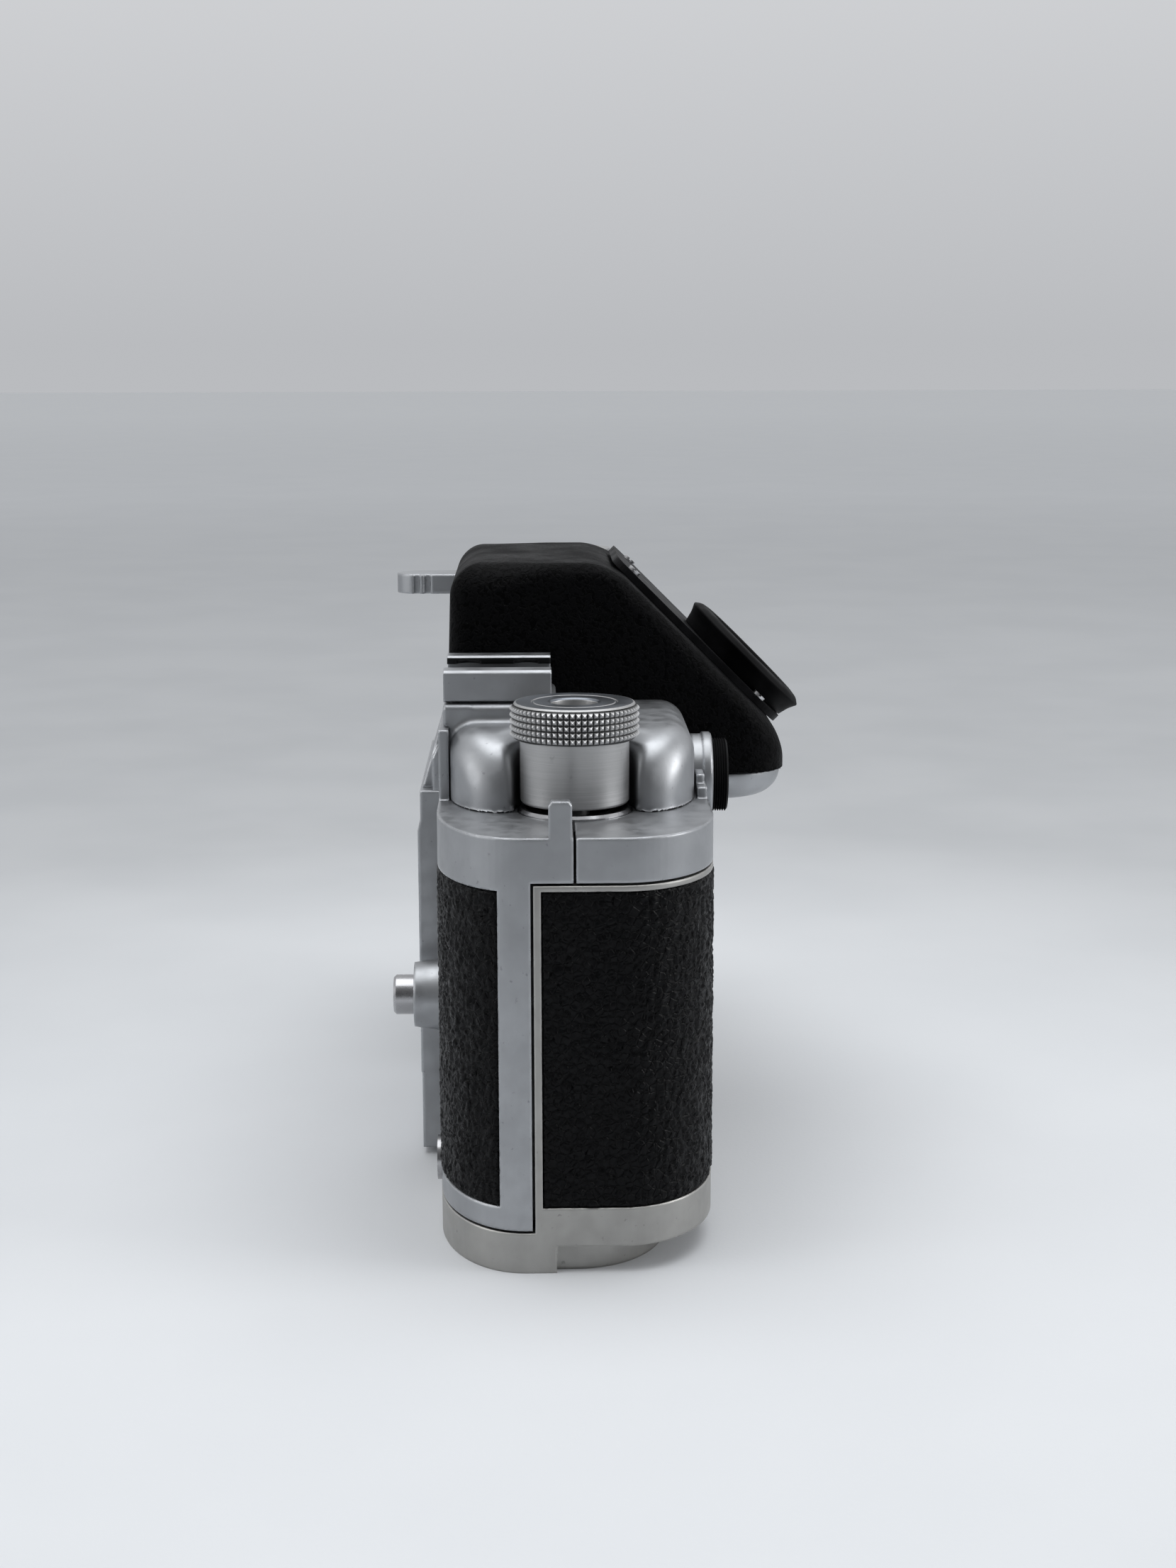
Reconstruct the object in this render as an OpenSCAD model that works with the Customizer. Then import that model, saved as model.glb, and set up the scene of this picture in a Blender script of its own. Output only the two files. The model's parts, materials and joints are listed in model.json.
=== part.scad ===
// 35 mm single-lens reflex camera body with a 45 degree prism finder.
// Front is -Y, the rewind end is +X, up is +Z. The origin is the mouth of the tripod socket.

/* [Body] */
// Width over both ends
body_w = 150; // [149.6:0.1:150.4]
// Front wall, in front of the spool axes
front_d = 20; // [19.9:0.1:20.1]
// Back wall, behind the spool axes
back_d = 19.9; // [19.9:0.1:20]
// Wall thickness of the castings
wall = 2; // [1.9:0.1:2]
// Height of the base plate's side
base_h = 6.1; // [6:0.1:6.2]
// Top of the ledge under the end controls
ledge_top = 62.9; // [62.8:0.1:63]
// Gap between castings that part
seam = 0.4; // [0.35:0.05:0.45]

/* [Top cover and shoe] */
// Height of the top cover's deck
deck_z = 76.7; // [76.6:0.1:76.8]
// Distance of both end controls from the middle
control_x = 55; // [54.9:0.1:55.1]
// Radius of the notch round each end control, beside its head
notch_r = 9.9; // [9.8:0.1:10]
// Middle of the accessory shoe
shoe_x = 32.6; // [32.6:0.1:32.7]
// Clear width of the accessory shoe
shoe_slot_w = 18.6; // [18.5:0.1:18.7]

/* [Prism finder] */
// Half width of the prism housing
prism_hw = 21.9; // [21.7:0.1:21.9]
// Top of the prism housing
prism_top = 95.5; // [95.4:0.1:95.6]
// Rear face of the prism housing
prism_back = 34.4; // [34.3:0.1:34.5]
// Y plus Z of the sloping face
slope_sum = 101.8; // [101.7:0.1:101.9]

/* [Lens mount] */
// Height of the lens axis
lens_z = 31.5; // [31.4:0.1:31.6]
// Bore of the lens flange
throat_r = 19; // [18.9:0.1:19.1]
// Front face of the mount block
block_front = 24.4; // [24.3:0.1:24.4]

/* [Rewind knob] */
// Radius of the knurled head
knob_r = 9.4; // [9.2:0.1:9.4]
// Radius of the turned shank
shank_r = 7.9; // [7.8:0.1:7.9]

/* [Hidden] */

$fn = 64;
clear = 0.1;
far = 200;
hx = body_w / 2;
// Half axes of the body's corners, front and back
corner_fx = 20.4;
corner_fy = 12.6;
corner_bx = 17.5;
corner_by = 13.6;
corner_steps = 20;
// Levels of the body
frame_top = 56.2;
step_z = 56.6;
leather_lo = 9.6;
leather_hi = 55.4;
plate_t = 1.5;
// Where the end faces divide, front to back
leather_front_end = -11.1;
casting_end = -6.5;
back_leather_end = -5.05;
ledge_split = -0.35;
leather_in = 0.6;
leather_out = 0.1;
// Mount block and its neighbours
block_hw = 24.2;
block_top = 60;
flange_r = 21.5;
boss_x = 28.5;
boss_z = 28;
button_r = 3.15;
// Film path
film_y = 13.8;
gate_w = 36;
gate_h = 24;
well_r = 13.2;
spool_well_r = 12.5;
sprocket_x = -control_x + 22;
sprocket_y = 7.5;
sprocket_well_r = 8.2;
chassis_lo = 7;
chassis_hi = 56.9;
// Gear train under the ledge
gear_z = 57.5;
gear_t = 2;
wind_teeth = 40;
sprocket_teeth = 20;
gear_module = 2 * norm([22, sprocket_y]) / (wind_teeth + sprocket_teeth);
pressure_angle = 22;
gear_backlash = 0.12;
// Shafts
shaft_r = 2.2;
wind_shaft_r = 2.5;
run = 0.08;
// Mirror and focusing screen
mirror_pivot_y = 7;
mirror_pivot_z = 44.6;
mirror_len = 26.2;
screen_z = film_y + mirror_pivot_z - mirror_pivot_y;
// Ledge screws, covered by the top cover
ledge_screw_x = 42.5;
ledge_screw_y = 12;
// Small terminal on the front
terminal_x = 54;
terminal_z = 10;
// Deck behind the raised platform, which ends at platform_x and platform_y
rear_deck_z = deck_z - 2.7;
platform_x = 44.1;
platform_y = -2.4;
// Lower part of the notch round each end control, beside its shank
notch_low_r = 8.7;
notch_step = 72.8;
// Edges of the prism's slope
slope_edge = 3;
// Prism eyepiece, on the slope
eye_y = 26.5;
eye_z = slope_sum - eye_y;
plate_proud = 1.2;
plate_screws = [[-10, -24], [10, -24], [-11.5, 4.6], [11.5, 4.6]];
// Finder beside the prism
finder_x = 33;
finder_z = 64;
// Wind lever
lever_z = 83.4;
lever_t = 3.6;
// Base
foot_step = -3.1;
foot_h = 3.95;
foot_x = 57.5;
foot_rx = 16;
foot_ry = 13;
key_r = 8;
tripod_r = 3.175;
screw_slot = 0.4;

function arc(c, rx, ry, a0, a1, n) =
    [for (i = [0 : n]) let (a = a0 + (a1 - a0) * i / n) [c[0] + rx * cos(a), c[1] + ry * sin(a)]];

// The body's outline seen from above, moved in by an inset
function plan(inset) = concat(
    arc([hx - corner_fx, corner_fy - front_d], corner_fx - inset, corner_fy - inset, -90, 0, corner_steps),
    arc([hx - corner_bx, back_d - corner_by], corner_bx - inset, corner_by - inset, 0, 90, corner_steps),
    arc([corner_bx - hx, back_d - corner_by], corner_bx - inset, corner_by - inset, 90, 180, corner_steps),
    arc([corner_fx - hx, corner_fy - front_d], corner_fx - inset, corner_fy - inset, 180, 270, corner_steps)
);

// Outline of the recessed foot, moved in by an inset
function foot_plan(inset) = concat(
    [[foot_x + foot_rx - inset, -front_d]], arc([foot_x, 0], foot_rx - inset, foot_ry - inset, 0, 90, corner_steps),
    arc([-foot_x, 0], foot_rx - inset, foot_ry - inset, 90, 180, corner_steps), [[inset - foot_x - foot_rx, -front_d]]);

// Involute of the base circle: the angle at pressure angle a, in degrees
function involute(a) = tan(a) * 180 / PI - a;

// Half the angle that a tooth fills at radius r
function tooth_half(r, rp, teeth) = let (
        base = rp * cos(pressure_angle),
        at_pitch = 90 / teeth - gear_backlash / rp * 90 / PI)
    at_pitch + involute(pressure_angle) - involute(acos(min(1, base / r)));

function gear_outline(teeth, turn) = let (
        rp = gear_module * teeth / 2,
        root = rp - 1.25 * gear_module,
        tip = rp + 0.9 * gear_module,
        rs = [for (i = [0 : 4]) let (lo = max(root, rp * cos(pressure_angle))) lo + (tip - lo) * i / 4])
    [for (k = [0 : teeth - 1]) let (c = turn + 360 * k / teeth) each concat(
        [let (h = tooth_half(rs[0], rp, teeth)) root * [cos(c - h), sin(c - h)]],
        [for (r = rs) let (h = tooth_half(r, rp, teeth)) r * [cos(c - h), sin(c - h)]],
        [for (i = [4 : -1 : 0]) let (h = tooth_half(rs[i], rp, teeth)) rs[i] * [cos(c + h), sin(c + h)]],
        [let (h = tooth_half(rs[0], rp, teeth)) root * [cos(c + h), sin(c + h)]])];

module slab(z0, z1, inset = 0) {
    translate([0, 0, z0])
        linear_extrude(z1 - z0) polygon(plan(inset));
}

// Everything between two values of Y
module between_y(y0, y1) {
    translate([-far / 2, y0, -far / 4]) cube([far, y1 - y0, far]);
}

module block(x0, x1, y0, y1, z0, z1) {
    translate([x0, y0, z0]) cube([x1 - x0, y1 - y0, z1 - z0]);
}

// An upright cylinder, or a tube when a bore is given
module post(x, y, z0, z1, r, bore = 0) {
    translate([x, y, z0]) difference() {
        cylinder(r = r, h = z1 - z0);
        if (bore > 0) translate([0, 0, -1]) cylinder(r = bore, h = z1 - z0 + 2);
    }
}

// The same, lying along Y
module bar_y(x, z, y0, y1, r, bore = 0) {
    translate([x, y0, z]) rotate([-90, 0, 0]) difference() {
        cylinder(r = r, h = y1 - y0);
        if (bore > 0) translate([0, 0, -1]) cylinder(r = bore, h = y1 - y0 + 2);
    }
}

// An outline in Y and Z, extruded along X
module along_x(x0, x1) {
    translate([x0, 0, 0]) rotate([90, 0, 90]) linear_extrude(x1 - x0) children();
}

// An outline in X and Z, extruded along Y
module along_y(y0, y1) {
    translate([0, y1, 0]) rotate([90, 0, 0]) linear_extrude(y1 - y0) children();
}

// Places things on the sloping face: Z points out of it, Y runs down it
module on_slope() {
    translate([0, eye_y, eye_z]) rotate([-45, 0, 0]) children();
}

// A slotted screw, head down to the plane z = 0
module screw(r, head, shank_r, shank) {
    difference() {
        union() {
            cylinder(r = r, h = head);
            translate([0, 0, -shank]) cylinder(r = shank_r, h = shank + head / 2);
        }
        translate([-r - 1, -screw_slot / 2, head / 2]) cube([2 * r + 2, screw_slot, head]);
    }
}

module chassis() {
    color([0.13, 0.13, 0.14]) difference() {
        union() {
            intersection() {
                slab(chassis_lo, chassis_hi, wall);
                between_y(-front_d, casting_end);
            }
            intersection() {
                slab(chassis_lo, chassis_hi, wall + 0.5);
                between_y(casting_end - 0.1, 11.5);
            }
            post(control_x, 0, chassis_hi - 0.5, ledge_top - plate_t, 8.2);
        }
        // Cassette well and take-up chamber, open to the back
        post(control_x, 0, chassis_lo + 1.5, 55.4, well_r);
        block(control_x - 11, control_x + 11, 0, 12, chassis_lo + 1.5, 55.4);
        post(-control_x, 0, chassis_lo + 1.5, 55.4, spool_well_r);
        block(-control_x - 11, -control_x + 11, 0, 12, chassis_lo + 1.5, 55.4);
        // Sprocket chamber
        post(sprocket_x, sprocket_y, chassis_lo + 1.5, 55.4, sprocket_well_r);
        // Shaft bores
        post(control_x, 0, 50, far, 4.7);
        post(-control_x, 0, 0, far, wind_shaft_r + run);
        post(sprocket_x, sprocket_y, 0, far, 1.5 + run);
        // Mirror box and shutter chamber
        block(-20.6, 20.6, -front_d - 1, 8.2, 9.4, far);
        block(-31, 31, 8, 12, 11.5, 53);
        block(20.5, 31, 2, 12, 11.5, 53);
        block(-26, -20.5, 4.5, 12, 11.5, 53);
        // Room for the release plunger and the finder pin
        bar_y(boss_x, boss_z, -front_d, -16.4, button_r + clear);
    }
}

module mirror_box() {
    color([0.06, 0.06, 0.06]) difference() {
        block(-20.5, 20.5, -19.9, 8, 9.5, screen_z);
        block(-19.5, 19.5, -20.9, 9, 10.5, screen_z + 1);
        translate([-25, mirror_pivot_y, mirror_pivot_z]) rotate([0, 90, 0]) cylinder(r = 0.8 + run, h = 50);
    }
}

module leather_zone(inset_a, inset_b, grow) {
    difference() {
        slab(leather_lo - grow, leather_hi + grow, inset_a);
        slab(leather_lo - 1 - grow, leather_hi + 1 + grow, inset_b);
    }
}

module front_casting() {
    color([0.66, 0.67, 0.69]) difference() {
        union() {
            intersection() {
                slab(base_h + seam / 2, ledge_top);
                between_y(-front_d - 1, casting_end);
            }
            intersection() {
                slab(step_z, ledge_top);
                between_y(-front_d - 1, ledge_split - seam / 2);
            }
            // Parapet in front of the top cover
            block(-47, 47, -front_d, -18.5, ledge_top - 1, 73.4);
            // Upright tab at each end
            for (s = [-1, 1]) translate([s > 0 ? hx - 1.8 : -hx, 0, 0])
                along_x(0, 1.8) polygon([[-3.95, 58], [-0.7, 58], [-0.7, 67.4], [-1.1, 68], [-3.5, 68], [-3.95, 67.4]]);
        }
        slab(0, ledge_top - plate_t, wall);
        difference() {
            leather_zone(-1, leather_in, 0);
            between_y(leather_front_end, far);
        }
        // Mirror box opening and prism opening
        block(-20.6, 20.6, -front_d - 1, -15, chassis_lo + 2.4, block_top - 2);
        block(-20.6, 20.6, -16.6, 1, 50, 70);
        for (s = [-1, 1]) post(s * control_x, 0, 50, 70, 8.35);
        block(finder_x - 6.5, finder_x + 6.5, -16.8, 1, 60, 70);
        block(finder_x - 5, finder_x + 5, -30, -18, 67, 73.3);
        bar_y(boss_x, boss_z, -30, -10, button_r + clear);
        bar_y(terminal_x, terminal_z, -30, -19.4, 3.3);
        for (s = [-1, 1]) post(s * ledge_screw_x, -ledge_screw_y, 55, 70, 0.9);
    }
}

module rear_ledge() {
    color([0.66, 0.67, 0.69]) difference() {
        union() {
            intersection() {
                slab(step_z, ledge_top);
                between_y(ledge_split + seam / 2, back_d + 1);
            }
            // Stepped lip along the rear edge
            block(24, 47, 18.4, back_d - 0.1, ledge_top - 1, 64.6);
            block(24, 44, 18.4, back_d - 0.3, ledge_top - 1, 66);
        }
        slab(0, ledge_top - plate_t, wall);
        block(-20.6, 20.6, -1, 15, 50, 70);
        for (s = [-1, 1]) post(s * control_x, 0, 50, 70, 8.35);
        block(finder_x - 6.5, finder_x + 6.5, -1, 12.4, 60, 70);
        bar_y(finder_x, finder_z, 12, 30, 5.2);
        bar_y(finder_x, finder_z, 18.1, 30, 6.7);
        for (s = [-1, 1]) post(s * ledge_screw_x, ledge_screw_y, 55, 70, 0.9);
    }
}

// Solid form of the top cover, moved in by an inset
module cover_form(inset) {
    side = concat(
        [[-18.45 + inset, 0]],
        arc([-12.95, rear_deck_z - 5.5], 5.5 - inset, 5.5 - inset, 180, 90, 10),
        arc([14, rear_deck_z - 4], 4 - inset, 4 - inset, 90, 0, 12),
        [[18 - inset, 0]]);
    half_end = [[57.8, 0], [57.8, 63], [57.4, 66.5], [56.1, 69.6], [53.6, 71.7], [49.6, 73.2],
        [45, rear_deck_z]];
    end = concat(
        [for (p = half_end) [p[0] - inset, p[1] - (p[1] > 0 ? inset : 0)]],
        [for (i = [len(half_end) - 1 : -1 : 0]) let (p = half_end[i])
            [inset - p[0], p[1] - (p[1] > 0 ? inset : 0)]]);
    outline = concat(
        arc([44, -9.7], 13.8 - inset, 8.75 - inset, -90, 0, 16),
        arc([44, 9], 13.8 - inset, 9 - inset, 0, 90, 16),
        arc([-44, 9], 13.8 - inset, 9 - inset, 90, 180, 16),
        arc([-44, -9.7], 13.8 - inset, 8.75 - inset, 180, 270, 16));
    difference() {
        intersection() {
            along_x(-70, 70) polygon(side);
            along_y(-30, 30) polygon(end);
            linear_extrude(deck_z + 5) polygon(outline);
        }
        for (s = [-1, 1]) {
            post(s * control_x, 0, -1, far, notch_low_r + inset);
            post(s * control_x, 0, notch_step, far, notch_r + inset);
            translate([s > 0 ? control_x : -control_x - 30, -notch_low_r - inset, -1])
                cube([30, 2 * (notch_low_r + inset), far]);
        }
    }
}

module top_cover() {
    color([0.66, 0.67, 0.69]) difference() {
        union() {
            cover_form(0);
            along_x(-platform_x, platform_x) polygon([[-18.45, 67], [-18.45, 73.45], [-19.4, 73.45],
                [-19.4, deck_z - 0.5], [-18.9, deck_z], [platform_y - 0.7, deck_z],
                [platform_y - 0.2, deck_z - 0.2], [platform_y, deck_z - 0.7], [platform_y, 67]]);
        }
        block(plate_t - platform_x, platform_x - plate_t, plate_t - 18.45, platform_y - plate_t,
            ledge_top, deck_z - plate_t);
        intersection() {
            cover_form(plate_t);
            translate([-far / 2, -far / 2, ledge_top - 1]) cube([far, far, far]);
        }
        translate([-far / 2, -far / 2, -far + ledge_top + 0.05]) cube(far);
        block(-prism_hw - 0.15, prism_hw + 0.15, -16.9, far, 0, far);
        bar_y(finder_x, finder_z, 12, 30, 5.2);
        block(finder_x - 5, finder_x + 5, -30, -10, 67, 73.4);
        for (x = [-1, 1], y = [-16, -7]) post(shoe_x + x * 6, y, 70, 80, 0.9);
    }
}

module cover_screws() {
    color([0.75, 0.75, 0.76])
        for (x = [-ledge_screw_x, ledge_screw_x], y = [-ledge_screw_y, ledge_screw_y])
            translate([x, y, ledge_top]) screw(1.6, 0.7, 0.85, 5);
}

module front_leather(s) {
    color([0.06, 0.06, 0.06]) difference() {
        intersection() {
            leather_zone(-leather_out, leather_in, -0.05);
            between_y(-front_d - 1, leather_front_end - 0.05);
            if (s > 0) block(block_hw + 0.3, far, -far, far, 0, far);
            else block(-far, -block_hw - 0.3, -far, far, 0, far);
        }
        if (s > 0) bar_y(boss_x, boss_z, -30, -10, 5.9);
        if (s > 0) bar_y(terminal_x, terminal_z, -30, -10, 3.4);
    }
}

module leather_front_rewind() {
    front_leather(1);
}

module leather_front_wind() {
    front_leather(-1);
}

module knob_seat_ring() {
    color([0.8, 0.8, 0.82]) translate([control_x, 0, ledge_top - plate_t]) rotate_extrude()
        polygon([[5.2, 0], [8.2, 0], [8.2, 1.7], [7.9, 2.1], [7.3, 2.1], [7, 1.8], [5.2, 1.8]]);
}

module accessory_shoe() {
    wall_t = 1.25;
    lip = 3;
    hw = shoe_slot_w / 2;
    color([0.72, 0.73, 0.75]) translate([shoe_x, 0, 77]) difference() {
        union() {
            along_y(-19.3, -3.2) polygon([
                [-hw - wall_t, 0.3], [-hw - wall_t + 0.3, 0], [hw + wall_t - 0.3, 0], [hw + wall_t, 0.3],
                [hw + wall_t, 4.3], [hw + wall_t - 0.4, 4.7], [hw - lip + 0.4, 4.7], [hw - lip, 4.3],
                [hw - lip, 3.45], [hw, 3.45], [hw, 1.35], [-hw, 1.35], [-hw, 3.45], [-hw + lip, 3.45],
                [-hw + lip, 4.3], [-hw + lip - 0.4, 4.7], [-hw - wall_t + 0.4, 4.7], [-hw - wall_t, 4.3]]);
            block(-hw, hw, -18.3, -4.2, deck_z - 77, 0.1);
        }
        for (x = [-1, 1], y = [-16, -7]) {
            post(x * 6, y, -2, 4, 0.9);
            post(x * 6, y, 0.75, 4, 1.9);
        }
    }
}

module shoe_screws() {
    color([0.75, 0.75, 0.76])
        for (x = [-1, 1], y = [-16, -7])
            translate([shoe_x + x * 6, y, 77.75]) screw(1.7, 0.5, 0.85, 2.5);
}

// Side outline of the prism housing, moved in by an inset
function prism_side(i) = concat(
    [[-16.7 + i, ledge_top + 0.1 + i], [-16.7 + i, deck_z + 0.05 + i], [-19.4 + i, deck_z + 0.05 + i],
     [-19 + i, prism_top - 5.7]],
    arc([-13.2, prism_top - 5.7], 5.7 - i, 5.7 - i, 175, 90, 10),
    arc([slope_sum - prism_top - slope_edge * (sqrt(2) - 1), prism_top - slope_edge],
        slope_edge - i, slope_edge - i, 90, 45, 5),
    arc([prism_back - slope_edge, slope_sum - prism_back - slope_edge * (sqrt(2) - 1)],
        slope_edge - i, slope_edge - i, 45, 0, 6),
    [[prism_back - i, 61.95 + i], [back_d + 0.1 + i, 61.95 + i], [back_d + 0.1 + i, ledge_top + 0.1 + i]]);

// Plan of the prism housing
function prism_plan(i) = concat(
    arc([prism_hw - 3, -16.4], 3 - i, 3 - i, -90, 0, 8),
    arc([prism_hw - 11, prism_back - 11], 11 - i, 11 - i, 0, 90, 14),
    arc([11 - prism_hw, prism_back - 11], 11 - i, 11 - i, 90, 180, 14),
    arc([3 - prism_hw, -16.4], 3 - i, 3 - i, 180, 270, 8));

// Front outline of the prism housing
function prism_front(i) = concat(
    [[i - prism_hw, 0], [prism_hw - i, 0]],
    arc([prism_hw - 3.5, prism_top - 3.5], 3.5 - i, 3.5 - i, 0, 90, 8),
    arc([3.5 - prism_hw, prism_top - 3.5], 3.5 - i, 3.5 - i, 90, 180, 8));

module prism_form(i) {
    intersection() {
        along_x(-30, 30) polygon(prism_side(i));
        linear_extrude(far) polygon(prism_plan(i));
        along_y(-40, 50) polygon(prism_front(i));
    }
}

module prism_housing() {
    color([0.07, 0.07, 0.07]) difference() {
        prism_form(0);
        prism_form(1.5);
        block(-19, 19, -14.9, 16, 60, 66);
        on_slope() translate([0, 0, -10]) cylinder(r = 9, h = 20);
    }
}

module prism_base_band() {
    color([0.78, 0.79, 0.8]) intersection() {
        along_x(-30, 30) polygon(concat(
            [[back_d + 0.1, 61.9], [back_d + 0.1, 57.3]],
            arc([prism_back - 7.2, 61.9], 7, 4.6, -90, 0, 24)));
        linear_extrude(far) polygon(prism_plan(0.1));
        along_y(0, 50) polygon(concat(
            [[-prism_hw + 0.1, 61.9]],
            arc([4.1 - prism_hw, 61.3], 4, 4, 180, 270, 16),
            arc([prism_hw - 4.1, 61.3], 4, 4, 270, 360, 16),
            [[prism_hw - 0.1, 61.9]]));
    }
}

module eyepiece_plate() {
    color([0.62, 0.63, 0.64]) on_slope() difference() {
        linear_extrude(plate_proud) polygon(concat(
            arc([10, -24.6], 3, 3, -90, 0, 8), arc([7, 4], 6, 6, 0, 90, 12),
            arc([-7, 4], 6, 6, 90, 180, 12), arc([-10, -24.6], 3, 3, 180, 270, 8)));
        translate([0, 0, -1]) cylinder(r = 9, h = 10);
        for (p = plate_screws) translate([p[0], p[1], -1]) cylinder(r = 0.75, h = 5);
    }
}

module eyepiece_screws() {
    color([0.8, 0.8, 0.8]) on_slope()
        for (p = plate_screws) translate([p[0], p[1], plate_proud]) screw(1.1, 0.5, 0.7, 1.1);
}

module eyecup() {
    color([0.05, 0.05, 0.05]) on_slope() translate([0, 0, plate_proud]) rotate_extrude()
        polygon([[9, 0], [11, 0], [11.1, 0.35], [11.5, 1.8], [12.05, 2.9], [12.05, 3.2],
            [11.2, 3.8], [9.6, 4.2], [8.9, 4.1], [8.2, 3], [8.2, 1.6], [9, 1.6]]);
}

module eyepiece_lens() {
    color([0.5, 0.6, 0.7, 0.5]) on_slope() translate([0, 0, -0.6]) rotate_extrude()
        polygon([[0, 0], [8.9, 0], [8.9, 2.6], [8, 2.6], [5, 3.1], [0, 3.3]]);
}

module prism_glass() {
    color([0.75, 0.85, 0.9, 0.5]) along_x(-17, 17)
        polygon([[-14.6, screen_z + 3], [8, screen_z + 3], [8, 57.2], [14, 64], [21, 66], [28.4, 67.5],
            [4.6, 91.3], [-10, 91.3], [-14.6, 86]]);
}

module focusing_screen() {
    color([0.85, 0.9, 0.9, 0.5]) block(-20.4, 20.4, -14.5, 8, screen_z, screen_z + 2);
}

module finder_block() {
    color([0.1, 0.1, 0.1]) difference() {
        union() {
            block(finder_x - 6.4, finder_x + 6.4, -16.7, -4.2, 60.4, 74.9);
            block(finder_x - 6.4, finder_x + 6.4, -4.3, 12.3, 60.4, 72.1);
        }
        block(finder_x - 4.4, finder_x + 4.4, -17.7, -5.4, 67.2, 73.2);
        block(finder_x - 4.4, finder_x + 4.4, -5.5, 9, 67.2, 70.7);
        bar_y(finder_x, finder_z, 2, 13, 4.2);
        block(finder_x - 4.2, finder_x + 4.2, 2, 9, finder_z, 70.7);
    }
}

module finder_window() {
    color([0.6, 0.7, 0.8, 0.5]) block(finder_x - 4.9, finder_x + 4.9, -18.4, -17, 67.1, 73.3);
}

module finder_ring() {
    color([0.7, 0.71, 0.73]) translate([finder_x, back_d, finder_z]) rotate([-90, 0, 0]) rotate_extrude()
        polygon([[5.1, -1.7], [6.3, -1.7], [6.3, 0], [6.6, 0], [6.6, 1.2], [6.3, 1.45], [4.8, 1.45], [4.8, 0],
            [5.1, 0]]);
}

module finder_thread() {
    color([0.05, 0.05, 0.05]) bar_y(finder_x, finder_z, 12.5, back_d, 5, 4.2);
    color([0.05, 0.05, 0.05]) bar_y(finder_x, finder_z, back_d - 0.1, back_d + 1.6, 4.75, 4.2);
    color([0.05, 0.05, 0.05]) translate([finder_x, back_d + 1.55, finder_z]) rotate([-90, 0, 0])
        rotate_extrude() polygon(concat([[4.2, 0], [5.3, 0]],
            [for (i = [0 : 5]) each [[5.3, 0.05 + i * 0.36], [5.65, 0.23 + i * 0.36]]],
            [[5.3, 2.3], [4.2, 2.3]]));
}

module finder_lens() {
    color([0.6, 0.7, 0.8, 0.5]) bar_y(finder_x, finder_z, back_d - 0.5, back_d + 1.5, 4.15);
}

module mount_block() {
    color([0.68, 0.69, 0.71]) difference() {
        along_x(-block_hw, block_hw) polygon([
            [-front_d - 0.02, 1.1], [-24.25, 1.1], [-24.25, 13.7], [-block_front, 13.8], [-block_front, 53.6],
            [-23.95, 55.5], [-23.95, block_top], [-front_d - 0.02, block_top]]);
        bar_y(0, lens_z, -30, -10, throat_r + 0.6);
        bar_y(0, lens_z, -30, 2 - block_front, flange_r + 0.05);
        bar_y(boss_x, boss_z, -30, -10, 5.95);
        for (a = [45 : 90 : 315])
            bar_y(20.35 * cos(a), lens_z + 20.35 * sin(a), -30, -10, 0.6);
        block(17, 23.4, -26, 1.2 - block_front, 36, 50);
    }
}

module lens_flange() {
    color([0.75, 0.75, 0.77]) difference() {
        bar_y(0, lens_z, 0.1 - block_front, 1.98 - block_front, flange_r, throat_r);
        for (a = [45 : 90 : 315]) {
            bar_y(20.35 * cos(a), lens_z + 20.35 * sin(a), -30, -10, 0.6);
            bar_y(20.35 * cos(a), lens_z + 20.35 * sin(a), -30, 0.7 - block_front, 1.05);
        }
        block(16.8, 23.6, -26, 1.3 - block_front, 35.8, 50.2);
    }
}

module flange_screws() {
    color([0.7, 0.7, 0.72])
        for (a = [45 : 90 : 315])
            translate([20.35 * cos(a), 0.7 - block_front, lens_z + 20.35 * sin(a)])
                rotate([90, 0, 0]) screw(0.95, 0.5, 0.55, 3);
}

module front_hood() {
    color([0.68, 0.69, 0.71]) {
        along_x(-20.9, 20.9) polygon([[-front_d - 0.05, block_top + 0.02], [-23.65, block_top + 0.02],
            [-20.5, 70.6], [-front_d - 0.05, 72.4]]);
        for (x = [-block_hw, 20.9])
            along_x(x, x + block_hw - 20.9)
                polygon([[-front_d - 0.05, block_top + 0.02], [-21.9, block_top + 0.02], [-21.9, 65.2],
                    [-21.3, 66.6], [-front_d - 0.05, 67.4]]);
    }
}

module lens_lock_lever() {
    color([0.75, 0.75, 0.77]) difference() {
        union() {
            bar_y(20.9, 48, 0.15 - block_front, 1.15 - block_front, 1.5);
            block(20, 21.8, 0.15 - block_front, 1.15 - block_front, 40, 48);
            bar_y(20.9, 39.4, -block_front - 0.1, 1.15 - block_front, 1.5);
        }
        bar_y(20.9, 48, -30, -20, 0.6);
    }
}

module release_boss() {
    color([0.7, 0.71, 0.73]) difference() {
        translate([boss_x, leather_in - front_d, boss_z]) rotate([90, 0, 0])
            cylinder(r1 = 5.85, r2 = 5.1, h = 5.62);
        bar_y(boss_x, boss_z, -30, -10, button_r + clear);
    }
}

module release_button() {
    color([0.82, 0.82, 0.82]) translate([boss_x, -21.4, boss_z]) rotate([90, 0, 0]) rotate_extrude()
        polygon([[0, -1.3], [1.3, -1.3], [1.3, 0], [button_r, 0], [button_r, 6.5], [button_r - 0.4, 6.9], [0, 6.9]]);
}

module release_spring() {
    color([0.7, 0.7, 0.72])
        for (i = [0 : 5]) translate([boss_x, -16.62 - i * 0.44, boss_z]) rotate([90, 0, 0])
            rotate_extrude() translate([2.3, 0]) circle(r = 0.22, $fn = 16);
}

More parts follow.
